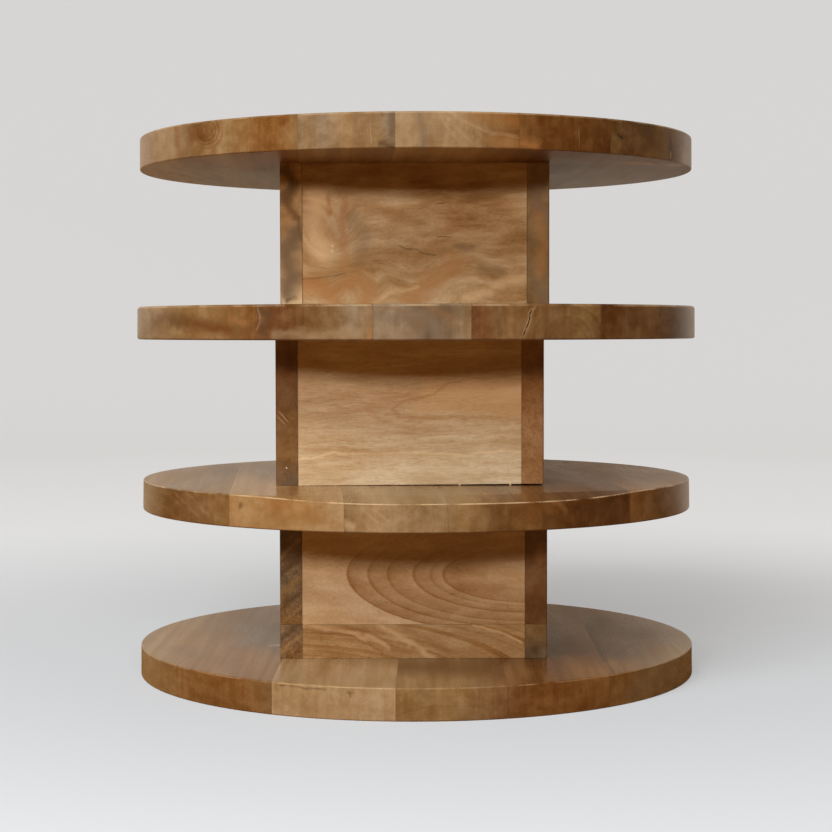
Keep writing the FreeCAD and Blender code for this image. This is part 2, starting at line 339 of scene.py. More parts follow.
def smudge_group():
    """A soft, uneven streak between two points."""
    nodes, given, out = new_group(
        "smudge",
        {"vector": ("Vector", "Sway", "Start", "End"), "value": ("Ragged", "Width")},
        {"value": ("Strength",)},
    )
    wander = nodes.maths("MINIMUM", nodes.maths("MULTIPLY", given["Width"], SWAY_SHARE), MOST_SWAY)
    point = nodes.vector("ADD", given["Vector"], nodes.vector("SCALE", given["Sway"], wander))
    distance, _ = segment_reach(nodes, point, given["Start"], given["End"])
    distance = nodes.maths("MULTIPLY", distance, nodes.around(given["Ragged"], RAGGED_SWING))
    nodes.fill(out, {"Strength": nodes.between(distance, given["Width"], 0.0)})
    return nodes.tree


def grain_swirl_group():
    """Grain that turns about a place, as beside a knot: most at its middle, not at all beyond its reach."""
    nodes, given, out = new_group(
        "grain_swirl", {"vector": ("Vector", "Centre"), "value": ("Reach", "Turn")}, {"vector": ("Vector",)}
    )
    away = nodes.vector("SUBTRACT", given["Vector"], given["Centre"])
    distance = nodes.vector("LENGTH", nodes.vector("MULTIPLY", away, (0.0, 1.0, 1.0)))
    angle = nodes.maths("MULTIPLY", nodes.between(distance, given["Reach"], 0.0), given["Turn"])
    values = {"Vector": given["Vector"], "Center": given["Centre"], "Angle": angle}
    turned = nodes.add("ShaderNodeVectorRotate", values, rotation_type="X_AXIS").outputs[0]
    nodes.fill(out, {"Vector": turned})
    return nodes.tree


CHECK_TURNS = (95.0, 95.0, 95.0)
CHECK_END_WIDTH = 0.25
CHECK_BELLY = 3.0
CHECK_CORE = 0.4
CHECK_LIP = 3.0


def check_group():
    """A drying check: a fine wandering crack between two points, with a rubbed lip beside it."""
    nodes, given, out = new_group(
        "drying_check",
        {"vector": ("Vector", "Start", "End"), "value": ("Width", "Wander")},
        {"value": ("Crack", "Lip")},
    )
    point = nodes.drift(given["Vector"], CHECK_TURNS, given["Wander"])
    distance, share = segment_reach(nodes, point, given["Start"], given["End"])
    taper = nodes.maths("MULTIPLY", share, nodes.maths("SUBTRACT", 1.0, share))
    taper = nodes.maths("MULTIPLY_ADD", taper, CHECK_BELLY, CHECK_END_WIDTH)
    width = nodes.maths("MULTIPLY", given["Width"], taper)
    crack = nodes.between(distance, width, nodes.maths("MULTIPLY", width, CHECK_CORE))
    lip = nodes.between(distance, nodes.maths("MULTIPLY", width, CHECK_LIP), width)
    nodes.fill(out, {"Crack": crack, "Lip": lip})
    return nodes.tree


FIGURE = wood_figure_group()
FINISH = wood_finish_group()
LIT_WORN_SHADED_RIM = lit_worn_shaded_rim_group()
GLUE_LINE = glue_line_group()
UNEVENNESS = unevenness_group()
SMUDGE = smudge_group()
GRAIN_SWIRL = grain_swirl_group()
CHECK = check_group()


# Tones of the wood, as linear colours

TONES = {
    "cream": (0.66, 0.44, 0.235),
    "pale": (0.54, 0.36, 0.19),
    "biscuit": (0.53, 0.315, 0.15),
    "sand": (0.41, 0.218, 0.086),
    "cinnamon": (0.39, 0.175, 0.064),
    "straw": (0.315, 0.182, 0.08),
    "wheat": (0.285, 0.145, 0.05),
    "rust": (0.28, 0.115, 0.036),
    "tan": (0.25, 0.14, 0.059),
    "honey": (0.25, 0.13, 0.045),
    "plum": (0.15, 0.088, 0.05),
    "grey_tan": (0.235, 0.147, 0.077),
    "amber": (0.2, 0.08, 0.02),
    "olive": (0.185, 0.085, 0.024),
    "toffee": (0.17, 0.077, 0.025),
    "russet": (0.155, 0.056, 0.0125),
    "brick": (0.15, 0.059, 0.02),
    "dusk": (0.15, 0.096, 0.053),
    "slate": (0.118, 0.08, 0.048),
    "smoke": (0.12, 0.068, 0.034),
    "walnut": (0.11, 0.049, 0.016),
    "chestnut": (0.104, 0.034, 0.0075),
    "umber": (0.066, 0.032, 0.013),
    "char": (0.02, 0.011, 0.006),
}


def tone(name):
    return (*TONES[name], 1.0)


@dataclass
class Timber:
    """How one board looks. Tones are placed across a stave, or from the foot to the head of a column board.

    The pith is given across and above, the gap between rings and the board's wander and curl in millimetres.
    Growth lines are single rings, each with its distance from the pith and its strength. They fade upwards
    between the two heights of the line fade.
    """

    tones: tuple
    pith: tuple
    shade: float = 1.0
    lean: tuple = (0.0, 0.0)
    ring_gap: float = 6.0
    rings: float = 0.2
    late: str = "russet"
    growth_lines: tuple = ()
    line_floor: float = 0.0
    line_fade: tuple = ()
    lines: float = 0.2
    streaks: float = 0.08
    blotches: float = 0.1
    smoke: float = 0.2
    smoke_tone: str = "smoke"
    speckle: float = 0.05
    wander: float = 4.0
    curl: float = 0.0
    swirls: tuple = ()
    marks: tuple = ()


@dataclass
class Swirl:
    """A place on a front board, in millimetres right and up, about which the grain turns by some degrees."""

    x: float
    z: float
    reach: float
    turn: float


@dataclass
class Smudge:
    """A soft streak of another tone along a path of places, in millimetres."""

    path: tuple
    width: float
    tone: str
    strength: float


@dataclass
class Check:
    """A drying check between two places, in millimetres. Depth and lip tell how dark and how pale it is."""

    start: tuple
    end: tuple
    width: float
    wander: float
    depth: float
    lip: float = 0.0


# Places and sizes read from the frame


@dataclass
class Disc:
    radius: float
    lower: float
    upper: float
    turn: float


def staves_of(disc):
    names = [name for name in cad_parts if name.startswith(f"{disc}_stave_")]
    return sorted(names, key=lambda name: int(name.rsplit("_", 1)[1]))


# A glued face is upright and larger than any facet of the rim
SEAM_FACE = 1000 * MM * MM
UPRIGHT = 0.01


def seams_of(node):
    """A stave's glued faces: the turn of their normals, and the least and the greatest place along it."""
    faces = [
        face
        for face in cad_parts[node].data.polygons
        if face.area > SEAM_FACE and abs(face.normal.z) < UPRIGHT
    ]
    normal = faces[0].normal if faces[0].normal.x > 0 else -faces[0].normal
    places = [face.center.dot(normal) for face in faces]
    return math.atan2(normal.y, normal.x), min(places), max(places)


def measure_disc(disc):
    corners = [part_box(name) for name in staves_of(disc)]
    reach = max(-min(low.x for low, _ in corners), max(high.x for _, high in corners))
    return Disc(reach, corners[0][0].z, corners[0][1].z, seams_of(f"{disc}_stave_2")[0])


disc_sizes = {disc: measure_disc(disc) for disc in DISCS}


def rim(disc, x, height):
    """A place on a disc's front rim, in millimetres: so far right of the middle and above its underside."""
    size = disc_sizes[disc]
    return x, -math.sqrt((size.radius / MM) ** 2 - x * x), size.lower / MM + height


COLUMN_FRONT = -115.5


def front(x, z):
    """A place on the front of the columns, in millimetres."""
    return x, COLUMN_FRONT, z


def rim_smudge(disc, width, name, strength, *places):
    """A smudge on a disc's front rim, through places that each give how far right and how high."""
    return Smudge(tuple(rim(disc, x, height) for x, height in places), width, name, strength)


def front_smudge(width, name, strength, *places):
    """A smudge on the front of a column."""
    return Smudge(tuple(front(x, z) for x, z in places), width, name, strength)


def level_smudge(level, width, name, strength, *places):
    """A smudge on a level face of a disc, through places that each give how far right and how far back."""
    return Smudge(tuple((x, y, level) for x, y in places), width, name, strength)


TOP_UNDERSIDE = 454
LOWER_SHELF_FACE = 177
BASE_FACE = 27


# Boards of the table

timbers = {
    "top_stave_1": Timber(
        (
            (0.0, "straw"), (0.24, "straw"), (0.34, "tan"), (0.42, "toffee"), (0.47, "honey"),
            (0.54, "straw"), (0.65, "honey"), (0.8, "amber"), (0.91, "amber"), (1.0, "honey"),
        ),
        shade=0.95, pith=(-179.5, 474), growth_lines=((5.5, 0.5), (8.5, 0.6), (11.5, 0.6), (14.5, 0.45)),
        rings=0.1, wander=1.2, smoke=0.1,
        marks=(
            rim_smudge("top", 9, "russet", 0.45, (-200, 26), (-198, 15), (-196, 4)),
            rim_smudge("top", 1.8, "chestnut", 0.6, (-181, 21), (-176, 22)),
            rim_smudge("top", 1.4, "chestnut", 0.5, (-173, 24), (-171, 21)),
            level_smudge(TOP_UNDERSIDE, 5, "char", 0.6, (-234, -44), (-216, 2), (-196, 124)),
            level_smudge(TOP_UNDERSIDE, 5, "char", 0.5, (-214, -72), (-198, 4), (-192, 86)),
            level_smudge(TOP_UNDERSIDE, 6, "char", 0.5, (-180, -102), (-166, -72)),
            level_smudge(TOP_UNDERSIDE, 5, "pale", 0.25, (-186, -40), (-176, 30)),
            level_smudge(TOP_UNDERSIDE, 3, "char", 0.6, (-146, 28), (-143, 60)),
        ),
    ),
    "top_stave_2": Timber(
        (
            (0.0, "grey_tan"), (0.1, "tan"), (0.3, "grey_tan"), (0.46, "straw"), (0.6, "tan"),
            (0.8, "tan"), (0.9, "grey_tan"), (1.0, "dusk"),
        ),
        shade=0.98, pith=(-400, 470), ring_gap=2.6, rings=0.12, late="dusk", wander=2.0,
        marks=(
            Check(rim("top", -35, 2), rim("top", -36, 27), 0.2, 1.0, 0.0, 0.12),
            rim_smudge("top", 6, "umber", 1.0, (-28, 1), (-20, 0)),
            rim_smudge("top", 3, "pale", 0.1, (-100, 24), (-92, 25)),
        ),
    ),
    "top_stave_3": Timber(
        (
            (0.0, "straw"), (0.17, "straw"), (0.22, "grey_tan"), (0.3, "straw"), (0.6, "straw"),
            (0.8, "honey"), (1.0, "amber"),
        ),
        shade=0.9, pith=(79, 546), growth_lines=((82, 0.0), (84, 0.22), (87, 0.15), (91, 0.22)),
        late="straw", rings=0.0, wander=2.0, smoke=0.05,
        marks=(
            rim_smudge("top", 1.4, "pale", 0.07, (17, 29), (25, 16), (34, 4)),
            rim_smudge("top", 1.8, "pale", 0.07, (20, 29), (33, 14), (46, 3)),
            rim_smudge("top", 2.6, "pale", 0.09, (26, 29), (40, 19), (55, 13), (79, 10)),
            rim_smudge("top", 9, "amber", 0.4, (44, 26), (70, 23), (92, 20)),
            rim_smudge("top", 9, "rust", 0.3, (64, 6), (82, 4)),
            rim_smudge("top", 3, "toffee", 0.3, (3, 27), (8, 14), (11, 2)),
            rim_smudge("top", 8, "russet", 0.5, (74, 24), (86, 20), (92, 27)),
        ),
    ),
    "top_stave_4": Timber(
        ((0.0, "amber"), (0.2, "russet"), (0.6, "russet"), (1.0, "chestnut")),
        shade=0.82, pith=(-300, 470), ring_gap=6, rings=0.3, late="chestnut", smoke=0.1,
        marks=(
            rim_smudge("top", 9, "rust", 0.5, (82, 4), (95, 3)),
            Check(rim("top", 131.4, 2), rim("top", 131.4, 22), 0.2, 1.5, 0.0, 0.14),
        ),
    ),
    "top_stave_5": Timber(
        ((0.0, "olive"), (0.06, "honey"), (0.12, "toffee"), (0.4, "olive"), (1.0, "olive")),
        shade=0.69, pith=(-300, 470), rings=0.3, late="walnut", smoke=0.15,
        marks=(
            rim_smudge("top", 11, "umber", 0.9, (184, 27), (198, 26)),
            rim_smudge("top", 9, "umber", 0.8, (190, 21), (196, 19)),
            rim_smudge("top", 9, "char", 0.85, (217, 14), (218, 3)),
            rim_smudge("top", 2.4, "char", 0.85, (166, 16), (169, 14)),
            rim_smudge("top", 1.1, "pale", 0.9, (217, 8), (217, 3)),
            level_smudge(TOP_UNDERSIDE, 22, "pale", 0.45, (186, -108), (226, -86)),
            level_smudge(TOP_UNDERSIDE, 5, "char", 0.35, (170, 18), (178, -60)),
            level_smudge(TOP_UNDERSIDE, 5, "char", 0.35, (198, -60), (190, 20)),
            level_smudge(TOP_UNDERSIDE, 5, "char", 0.8, (202, -122), (210, -96), (218, -84)),
        ),
    ),
    "upper_shelf_stave_1": Timber(
        ((0.0, "tan"), (0.3, "straw"), (0.45, "honey"), (0.7, "honey"), (1.0, "amber")),
        shade=0.94, pith=(-190, 400), rings=0.15, smoke=0.05,
        marks=(
            rim_smudge("upper_shelf", 11, "walnut", 0.75, (-226, 15), (-212, 19), (-196, 17)),
            rim_smudge("upper_shelf", 10, "walnut", 0.7, (-204, 17), (-178, 13), (-150, 9), (-136, 8)),
            rim_smudge("upper_shelf", 7, "chestnut", 0.8, (-190, 14), (-172, 12), (-152, 9)),
            rim_smudge("upper_shelf", 6, "rust", 0.3, (-150, 16), (-138, 14)),
        ),
    ),
    "upper_shelf_stave_2": Timber(
        (
            (0.0, "brick"), (0.22, "brick"), (0.45, "toffee"), (0.65, "tan"), (0.85, "grey_tan"),
            (1.0, "tan"),
        ),
        shade=0.92, pith=(-90, 120), ring_gap=8, rings=0.1, smoke=0.05, late="toffee",
        marks=(
            rim_smudge("upper_shelf", 7, "umber", 0.85, (-124, 25), (-120, 17), (-123, 8)),
            rim_smudge("upper_shelf", 7, "grey_tan", 0.45, (-114, 4), (-80, 4), (-48, 6)),
            rim_smudge("upper_shelf", 2.2, "smoke", 0.35, (-96, 10), (-60, 9)),
            rim_smudge("upper_shelf", 4, "rust", 0.4, (-36, 9), (-38, 2)),
            rim_smudge("upper_shelf", 1.4, "pale", 0.16, (-127, 26), (-125.5, 20), (-126, 14), (-129, 8)),
        ),
    ),
    "upper_shelf_stave_3": Timber(
        ((0.0, "grey_tan"), (0.35, "grey_tan"), (0.55, "dusk"), (0.85, "grey_tan"), (1.0, "tan")),
        shade=0.93, pith=(0, 420), ring_gap=8, rings=0.15, late="dusk", smoke=0.5, smoke_tone="slate",
        marks=(
            rim_smudge("upper_shelf", 13, "slate", 0.5, (-8, 20), (4, 15), (18, 9)),
            rim_smudge("upper_shelf", 9, "smoke", 0.7, (-4, 17), (6, 15)),
            rim_smudge("upper_shelf", 8, "slate", 0.6, (-30, 20), (-22, 17)),
            rim_smudge("upper_shelf", 7, "toffee", 0.4, (12, 24), (22, 20), (30, 15)),
            rim_smudge("upper_shelf", 1.8, "brick", 0.4, (-32, 27), (-18, 25), (-4, 22)),
        ),
    ),
    "upper_shelf_stave_4": Timber(
        (
            (0.0, "brick"), (0.12, "brick"), (0.2, "toffee"), (0.6, "toffee"), (0.88, "honey"),
            (1.0, "toffee"),
        ),
        pith=(114, 301), growth_lines=((13, 0.4), (17, 0.25), (22, 0.4), (26, 0.25), (31, 0.35)),
        line_floor=0.4, late="umber", rings=0.05, wander=5.0, smoke=0.1,
        marks=(
            rim_smudge("upper_shelf", 5, "umber", 0.6, (63, 27), (66, 18), (66, 4)),
            rim_smudge("upper_shelf", 11, "walnut", 0.5, (102, 9), (122, 8)),
            rim_smudge("upper_shelf", 9, "walnut", 0.45, (84, 20), (87, 6)),
            Check(rim("upper_shelf", 96.6, 30), rim("upper_shelf", 82.9, -1), 0.9, 7.0, 1.0, 0.16),
        ),
    ),
    "upper_shelf_stave_5": Timber(
        (
            (0.0, "chestnut"), (0.15, "chestnut"), (0.35, "toffee"), (0.5, "toffee"), (0.68, "walnut"),
            (1.0, "smoke"),
        ),
        shade=0.9, pith=(600, 320), ring_gap=8, rings=0.4, late="umber", smoke=0.25,
    ),
    "lower_shelf_stave_1": Timber(
        ((0.0, "tan"), (0.3, "olive"), (0.7, "toffee"), (1.0, "olive")),
        pith=(-120, 290), ring_gap=9, rings=0.35, late="russet", wander=2.0, smoke=0.1,
        marks=(
            rim_smudge("lower_shelf", 2.2, "tan", 0.35, (-204, 23), (-182, 7)),
            rim_smudge("lower_shelf", 2.2, "tan", 0.35, (-193, 25), (-172, 8)),
            level_smudge(LOWER_SHELF_FACE, 14, "walnut", 0.6, (-190, -90), (-168, -84)),
        ),
    ),
    "lower_shelf_stave_2": Timber(
        ((0.0, "wheat"), (0.6, "wheat"), (1.0, "straw")),
        shade=1.12, pith=(-120, 420), rings=0.12, late="amber", smoke=0.05,
        marks=(
            rim_smudge("lower_shelf", 8, "straw", 0.5, (-136, 16), (-148, 9)),
            rim_smudge("lower_shelf", 3.4, "umber", 0.75, (-144, 20), (-143, 18)),
            rim_smudge("lower_shelf", 8, "olive", 0.65, (-120, 9), (-100, 11), (-74, 9)),
            rim_smudge("lower_shelf", 7, "rust", 0.25, (-120, 20), (-84, 19)),
        ),
    ),
    "lower_shelf_stave_3": Timber(
        ((0.0, "tan"), (0.3, "straw"), (0.7, "tan"), (1.0, "tan")),
        pith=(40, 300), ring_gap=8, rings=0.2, late="olive",
        marks=(
            rim_smudge("lower_shelf", 6, "pale", 0.25, (-57, 8), (-51, 4)),
            rim_smudge("lower_shelf", 1.2, "pale", 0.12, (-46, 22), (-30, 8)),
            rim_smudge("lower_shelf", 1.2, "pale", 0.1, (-36, 20), (-22, 10)),
        ),
    ),
    "lower_shelf_stave_4": Timber(
        ((0.0, "tan"), (0.2, "honey"), (0.5, "toffee"), (1.0, "russet")),
        shade=0.93, pith=(50, 20), rings=0.2, smoke=0.1,
    ),
    "lower_shelf_stave_5": Timber(
        ((0.0, "russet"), (0.3, "chestnut"), (1.0, "chestnut")),
        shade=0.85, pith=(120, 320), smoke=0.3, smoke_tone="umber", late="umber",
        marks=(
            rim_smudge("lower_shelf", 4, "rust", 0.2, (110, 22), (122, 15)),
        ),
    ),
    "lower_shelf_stave_6": Timber(
        ((0.0, "amber"), (0.4, "toffee"), (1.0, "toffee")),
        pith=(600, 160), ring_gap=9, rings=0.3, late="walnut", smoke=0.2,
    ),
    "base_stave_1": Timber(
        ((0.0, "tan"), (0.25, "honey"), (0.5, "amber"), (0.8, "amber"), (1.0, "toffee")),
        pith=(-600, 10), ring_gap=3, rings=0.4, wander=1.5, smoke=0.15,
        marks=(
            level_smudge(BASE_FACE, 7, "cream", 0.95, (-130, -46), (-123, -44)),
            level_smudge(BASE_FACE, 24, "walnut", 0.25, (-215, -60), (-180, -110), (-160, -150)),
            level_smudge(BASE_FACE, 34, "slate", 0.7, (-150, 60), (-140, -40)),
        ),
    ),
    "base_stave_2": Timber(
        ((0.0, "straw"), (1.0, "straw")),
        shade=1.08, pith=(-60, 160), rings=0.12, late="honey", smoke=0.04,
        marks=(
            rim_smudge("base", 2, "umber", 1.0, (-55, 22.5), (-52, 22.5)),
            rim_smudge("base", 1.7, "umber", 1.0, (-53.5, 22), (-53, 19.5)),
            rim_smudge("base", 1.5, "umber", 0.6, (-110, 25), (-90, 24), (-73, 24.2)),
        ),
    ),
    "base_stave_3": Timber(
        ((0.0, "honey"), (0.5, "honey"), (1.0, "brick")),
        pith=(30, -120), ring_gap=7, rings=0.25, late="brick", smoke=0.35, smoke_tone="slate",
        marks=(
            level_smudge(BASE_FACE, 62, "walnut", 0.85, (-10, -160), (50, -170), (90, -180)),
        ),
    ),
    "base_stave_4": Timber(
        ((0.0, "brick"), (0.3, "russet"), (1.0, "russet")),
        shade=1.04, pith=(110, 180), rings=0.25, late="chestnut", smoke=0.1,
        marks=(
            # Dark stain by the column, deepened as painted shadow of the column and the shelf above
            level_smudge(BASE_FACE, 46, "char", 0.9, (84, 140), (112, 60), (122, -80)),
        ),
    ),
    "base_stave_5": Timber(
        ((0.0, "amber"), (0.5, "olive"), (1.0, "honey")),
        shade=0.92, pith=(220, 180), ring_gap=8, rings=0.3, late="umber", smoke=0.4, smoke_tone="slate",
        marks=(
            # Dark stain by the column, deepened as painted shadow of the column and the shelf above
            level_smudge(BASE_FACE, 62, "char", 0.8, (128, 130), (150, 20), (154, -90)),
            level_smudge(BASE_FACE, 2.5, "char", 0.6, (163, -190), (162, -80), (160, 120)),
            # Dark stain further right, deepened as painted shadow of the shelf above
            level_smudge(BASE_FACE, 55, "char", 0.6, (180, 90), (206, 20)),
            level_smudge(BASE_FACE, 6, "char", 0.55, (168, -70), (186, -20), (212, -6)),
            level_smudge(BASE_FACE, 6, "char", 0.45, (176, -86), (196, -40), (222, -30)),
        ),
    ),
    "upper_column_front_panel": Timber(
        ((0.0, "sand"), (1.0, "sand")),
        shade=0.65, pith=(60, 420), lean=(0.2, 0.05), ring_gap=8, rings=0.06, late="rust", lines=0.22,
        streaks=0.15, blotches=0.2, wander=5, curl=1.4, smoke=0.1,
        swirls=(Swirl(-84, 396, 42, 75), Swirl(-48, 344, 28, 75), Swirl(24, 350, 54, -30)),
        marks=(
            front_smudge(17, "biscuit", 0.55, (-84, 426), (-86, 400), (-80, 376)),
            front_smudge(4, "rust", 0.75, (-75, 428), (-74, 410)),
            front_smudge(7, "rust", 0.5, (-61, 424), (-63, 400), (-62, 364)),
            front_smudge(13, "smoke", 0.35, (-52, 406), (-44, 390), (-50, 376)),
            front_smudge(1.8, "cream", 0.45, (-72.3, 383.6), (-72, 383)),
            front_smudge(1.8, "cream", 0.45, (-71.8, 379), (-71.3, 378)),
            front_smudge(15, "rust", 0.75, (-98, 350), (-82, 348), (-72, 338)),
            front_smudge(14, "rust", 0.7, (-62, 350), (-48, 353), (-38, 344), (-44, 334)),
            front_smudge(15, "rust", 0.65, (-6, 335), (14, 352), (34, 368)),
            front_smudge(5, "smoke", 0.5, (34, 385), (48, 381)),
            front_smudge(8, "smoke", 0.35, (58, 364), (74, 362)),
            front_smudge(3, "biscuit", 0.3, (-38, 331), (-20, 344), (2, 348)),
            front_smudge(7, "biscuit", 0.4, (44, 338), (70, 350), (98, 355)),
            front_smudge(0.9, "umber", 0.55, (-98, 354.5), (-80, 356), (-60, 359.5)),
            front_smudge(0.9, "char", 0.6, (-14, 383), (-8, 380), (1, 380), (7, 376), (17, 375)),
            Check(front(16, 419), front(27, 420), 0.5, 2.0, 0.7),
            Check(front(14, 391), front(34, 390.5), 0.6, 2.0, 0.6),
        ),
    ),
    "upper_column_left_panel": Timber(
        ((0.0, "cream"), (0.1, "biscuit"), (0.2, "sand"), (1.0, "sand")),
        shade=0.74, pith=(-90, 560), smoke=0.4, smoke_tone="walnut",
        marks=(
            front_smudge(9, "umber", 0.85, (-112, 450), (-104, 438), (-110, 424)),
            front_smudge(7, "walnut", 0.85, (-112, 426), (-104, 410)),
            front_smudge(5, "walnut", 0.85, (-100, 408), (-99, 390)),
            front_smudge(18, "smoke", 0.95, (-104, 392), (-111, 376), (-106, 358), (-111, 344)),
            front_smudge(4, "umber", 0.7, (-104, 341), (-110, 336)),
        ),
    ),
    "upper_column_right_panel": Timber(
        # Tones paler towards the head: painted light that eases the shadow of the top there
        ((0.0, "honey"), (0.75, "honey"), (0.86, "straw"), (1.0, "straw")),
        shade=0.57, pith=(90, 240), rings=0.15, late="walnut", smoke=0.5, smoke_tone="plum",
        marks=(
            front_smudge(9, "plum", 0.6, (108, 440), (102, 424), (110, 408)),
            front_smudge(9, "rust", 0.5, (104, 408), (110, 386), (106, 360)),
            front_smudge(9, "plum", 0.6, (104, 350), (111, 337)),
        ),
    ),
    "upper_column_back_panel": Timber(
        ((0.0, "sand"), (1.0, "sand")),
        shade=0.75, pith=(-70, 400), lean=(0.2, 0.0), ring_gap=8, rings=0.4, late="rust",
    ),
    "middle_column_front_panel": Timber(
        ((0.0, "cream"), (0.35, "cream"), (0.6, "biscuit"), (1.0, "biscuit")),
        shade=0.67, pith=(60, 420), lean=(0.12, 0.02), late="rust", rings=0.0, lines=0.4, streaks=0.12,
        blotches=0.12, smoke=0.0, wander=6,
        marks=(
            front_smudge(20, "sand", 0.6, (16, 262), (60, 258), (106, 246)),
            front_smudge(10, "sand", 0.5, (0, 245), (40, 246), (100, 236)),
            front_smudge(
                2.0, "rust", 0.52, (89, 273), (50, 269), (28, 265), (16, 256), (-10, 251), (-20, 244),
            ),
            front_smudge(3, "rust", 0.4, (-21, 243), (-15, 237), (6, 235), (50, 236), (98, 231)),
            front_smudge(4, "rust", 0.3, (-8, 257), (-34, 251), (-42, 242), (-30, 232), (-4, 227)),
            front_smudge(
                2, "cream", 0.45, (-102, 199), (-72, 205), (0, 205.5), (42, 203), (73, 206), (98, 205),
            ),
            front_smudge(4, "rust", 0.3, (-94, 208), (-66, 211), (-36, 206), (-4, 208)),
            front_smudge(4, "rust", 0.25, (-40, 222), (10, 224), (60, 221), (98, 224)),
        ),
    ),
    "middle_column_left_panel": Timber(
        ((0.0, "smoke"), (0.15, "toffee"), (0.45, "toffee"), (0.6, "brick"), (1.0, "brick")),
        shade=0.89, pith=(-60, 100), ring_gap=8, rings=0.3, late="chestnut", smoke=0.4,
        marks=(
            Check(front(-119, 242), front(-109, 231), 0.3, 2.0, 0.0, 0.28),
            Check(front(-120, 238), front(-112, 229), 0.3, 2.0, 0.0, 0.2),
            front_smudge(0.9, "cream", 0.8, (-112, 192.8), (-111.6, 192.2)),
        ),
    ),
    "middle_column_right_panel": Timber(
        ((0.0, "cinnamon"), (0.45, "cinnamon"), (0.6, "rust"), (1.0, "rust")),
        shade=0.61, pith=(180, 260), ring_gap=8, rings=0.3, late="brick", speckle=0.16, smoke=0.2,
    ),
    "middle_column_back_panel": Timber(
        ((0.0, "biscuit"), (1.0, "sand")),
        shade=0.71, pith=(-70, 240), lean=(-0.25, 0.0), ring_gap=9, rings=0.4, late="rust",
    ),
    "lower_column_front_upper_board": Timber(
        ((0.0, "biscuit"), (1.0, "biscuit")),
        shade=0.75, pith=(83.3, 100), lean=(0.33, 0.0),
        growth_lines=((12, 0.3), (24.3, 1.0), (28, 0.8), (32.9, 1.0), (40.5, 0.9), (46.1, 1.0), (52, 1.0)),
        line_floor=0.45, line_fade=(98, 126), late="amber", rings=0.0, lines=0.12, wander=1.5, smoke=0.0,
    ),
    "lower_column_front_lower_board": Timber(
        ((0.0, "sand"), (1.0, "sand")),
        shade=0.7, pith=(148.5, 0), lean=(0.3, 0.0), ring_gap=5, rings=1.0, late="amber", lines=0.5,
        wander=2.0, smoke=0.0,
        marks=(
            front_smudge(4, "biscuit", 0.45, (-98, 54), (-62, 51), (-40, 45), (-24, 36)),
            front_smudge(2.2, "brick", 0.45, (-99, 59), (-73, 58), (-48, 52), (-30, 44), (-20, 38)),
            front_smudge(2.2, "brick", 0.45, (-99, 51), (-70, 49), (-53, 46), (-39, 38), (-29, 31)),
            front_smudge(4, "biscuit", 0.45, (-36, 58), (-18, 49), (-2, 38), (12, 28)),
            front_smudge(6, "amber", 0.45, (-14, 57), (0, 49), (18, 38), (30, 31)),
            front_smudge(14, "amber", 0.3, (42, 52), (66, 44), (96, 33)),
            front_smudge(2, "biscuit", 0.5, (49, 57), (70, 50), (91, 41)),
        ),
    ),
    "lower_column_left_upper_board": Timber(
        ((0.0, "toffee"), (0.4, "smoke"), (1.0, "walnut")),
        pith=(-60, 0), ring_gap=8, rings=0.5, late="umber", speckle=0.28, smoke=0.6, smoke_tone="umber",
        marks=(
            front_smudge(5, "umber", 0.8, (-121, 128), (-101, 147)),
            front_smudge(3, "wheat", 0.45, (-121, 112), (-101, 131)),
            front_smudge(5, "umber", 0.8, (-121, 98), (-101, 117)),
            front_smudge(6, "wheat", 0.45, (-121, 78), (-101, 97)),
            front_smudge(4, "umber", 0.8, (-121, 66), (-101, 85)),
        ),
    ),
    "lower_column_left_lower_board": Timber(
        ((0.0, "toffee"), (1.0, "smoke")),
        pith=(-60, 0), ring_gap=8, rings=0.5, late="umber", speckle=0.28, smoke=0.6, smoke_tone="umber",
        marks=(
            front_smudge(4, "wheat", 0.45, (-121, 50), (-101, 69)),
            front_smudge(4, "umber", 0.8, (-121, 40), (-101, 59)),
            front_smudge(4, "wheat", 0.45, (-121, 28), (-101, 47)),
        ),
    ),
    "lower_column_right_upper_board": Timber(
        ((0.0, "brick"), (1.0, "brick")),
        shade=0.77, pith=(60, 260), rings=0.2, late="chestnut", smoke=0.15,
        marks=(
            # Paler streak near the head: painted light that eases the shadow of the shelf above
            front_smudge(8, "rust", 0.5, (108, 122), (108, 114)),
            front_smudge(9, "chestnut", 0.45, (108, 96), (108, 86)),
        ),
    ),
    "lower_column_right_lower_board": Timber(
        ((0.0, "smoke"), (1.0, "olive")),
        shade=0.77, pith=(60, 260), rings=0.2, late="umber", smoke=0.3,
        marks=(
            front_smudge(4, "umber", 0.8, (101, 33), (104, 31)),
        ),
    ),
    "lower_column_back_upper_board": Timber(
        ((0.0, "biscuit"), (1.0, "sand")),
        shade=0.77, pith=(-80, 100), lean=(0.3, 0.0), ring_gap=9, rings=0.45, late="rust",
    ),
    "lower_column_back_lower_board": Timber(
        ((0.0, "sand"), (1.0, "sand")),
        shade=0.73, pith=(-60, 0), lean=(0.2, 0.1), ring_gap=7, rings=0.45, late="rust",
    ),
}

CLEAT_TIMBER = Timber(((0.0, "pale"), (1.0, "straw")), pith=(40, -60), smoke=0.1)


# Materials


@dataclass
class Lie:
    """How a board lies in the table: its turn to board space, the direction of its tones and their two ends.

    Joints are the places of its glued ends, where it has them.
    """

    turn: float
    tone_axis: str
    start: float
    end: float
    joints: tuple = ()


@dataclass
class Surface:
    """What the working of a board's surface has left of its figure."""

    tone_drift: float
    fibre: float
    lines: float
    rays: float
    pores: float
    face_streaks: float
    # How much darker end grain is: partly the wood's own, partly painted shade on rims
    end_shade: float
    relief: float


PLANED = Surface(
    tone_drift=0.14,
    fibre=0.07,
    lines=1.0,
    rays=0.0,
    pores=0.2,
    face_streaks=0.0,
    end_shade=0.0,
    relief=0.15,
)
SANDED = Surface(
    tone_drift=0.08,
    fibre=0.02,
    lines=0.3,
    rays=0.045,
    pores=0.0,
    face_streaks=0.05,
    end_shade=0.35,
    relief=0.04,
)

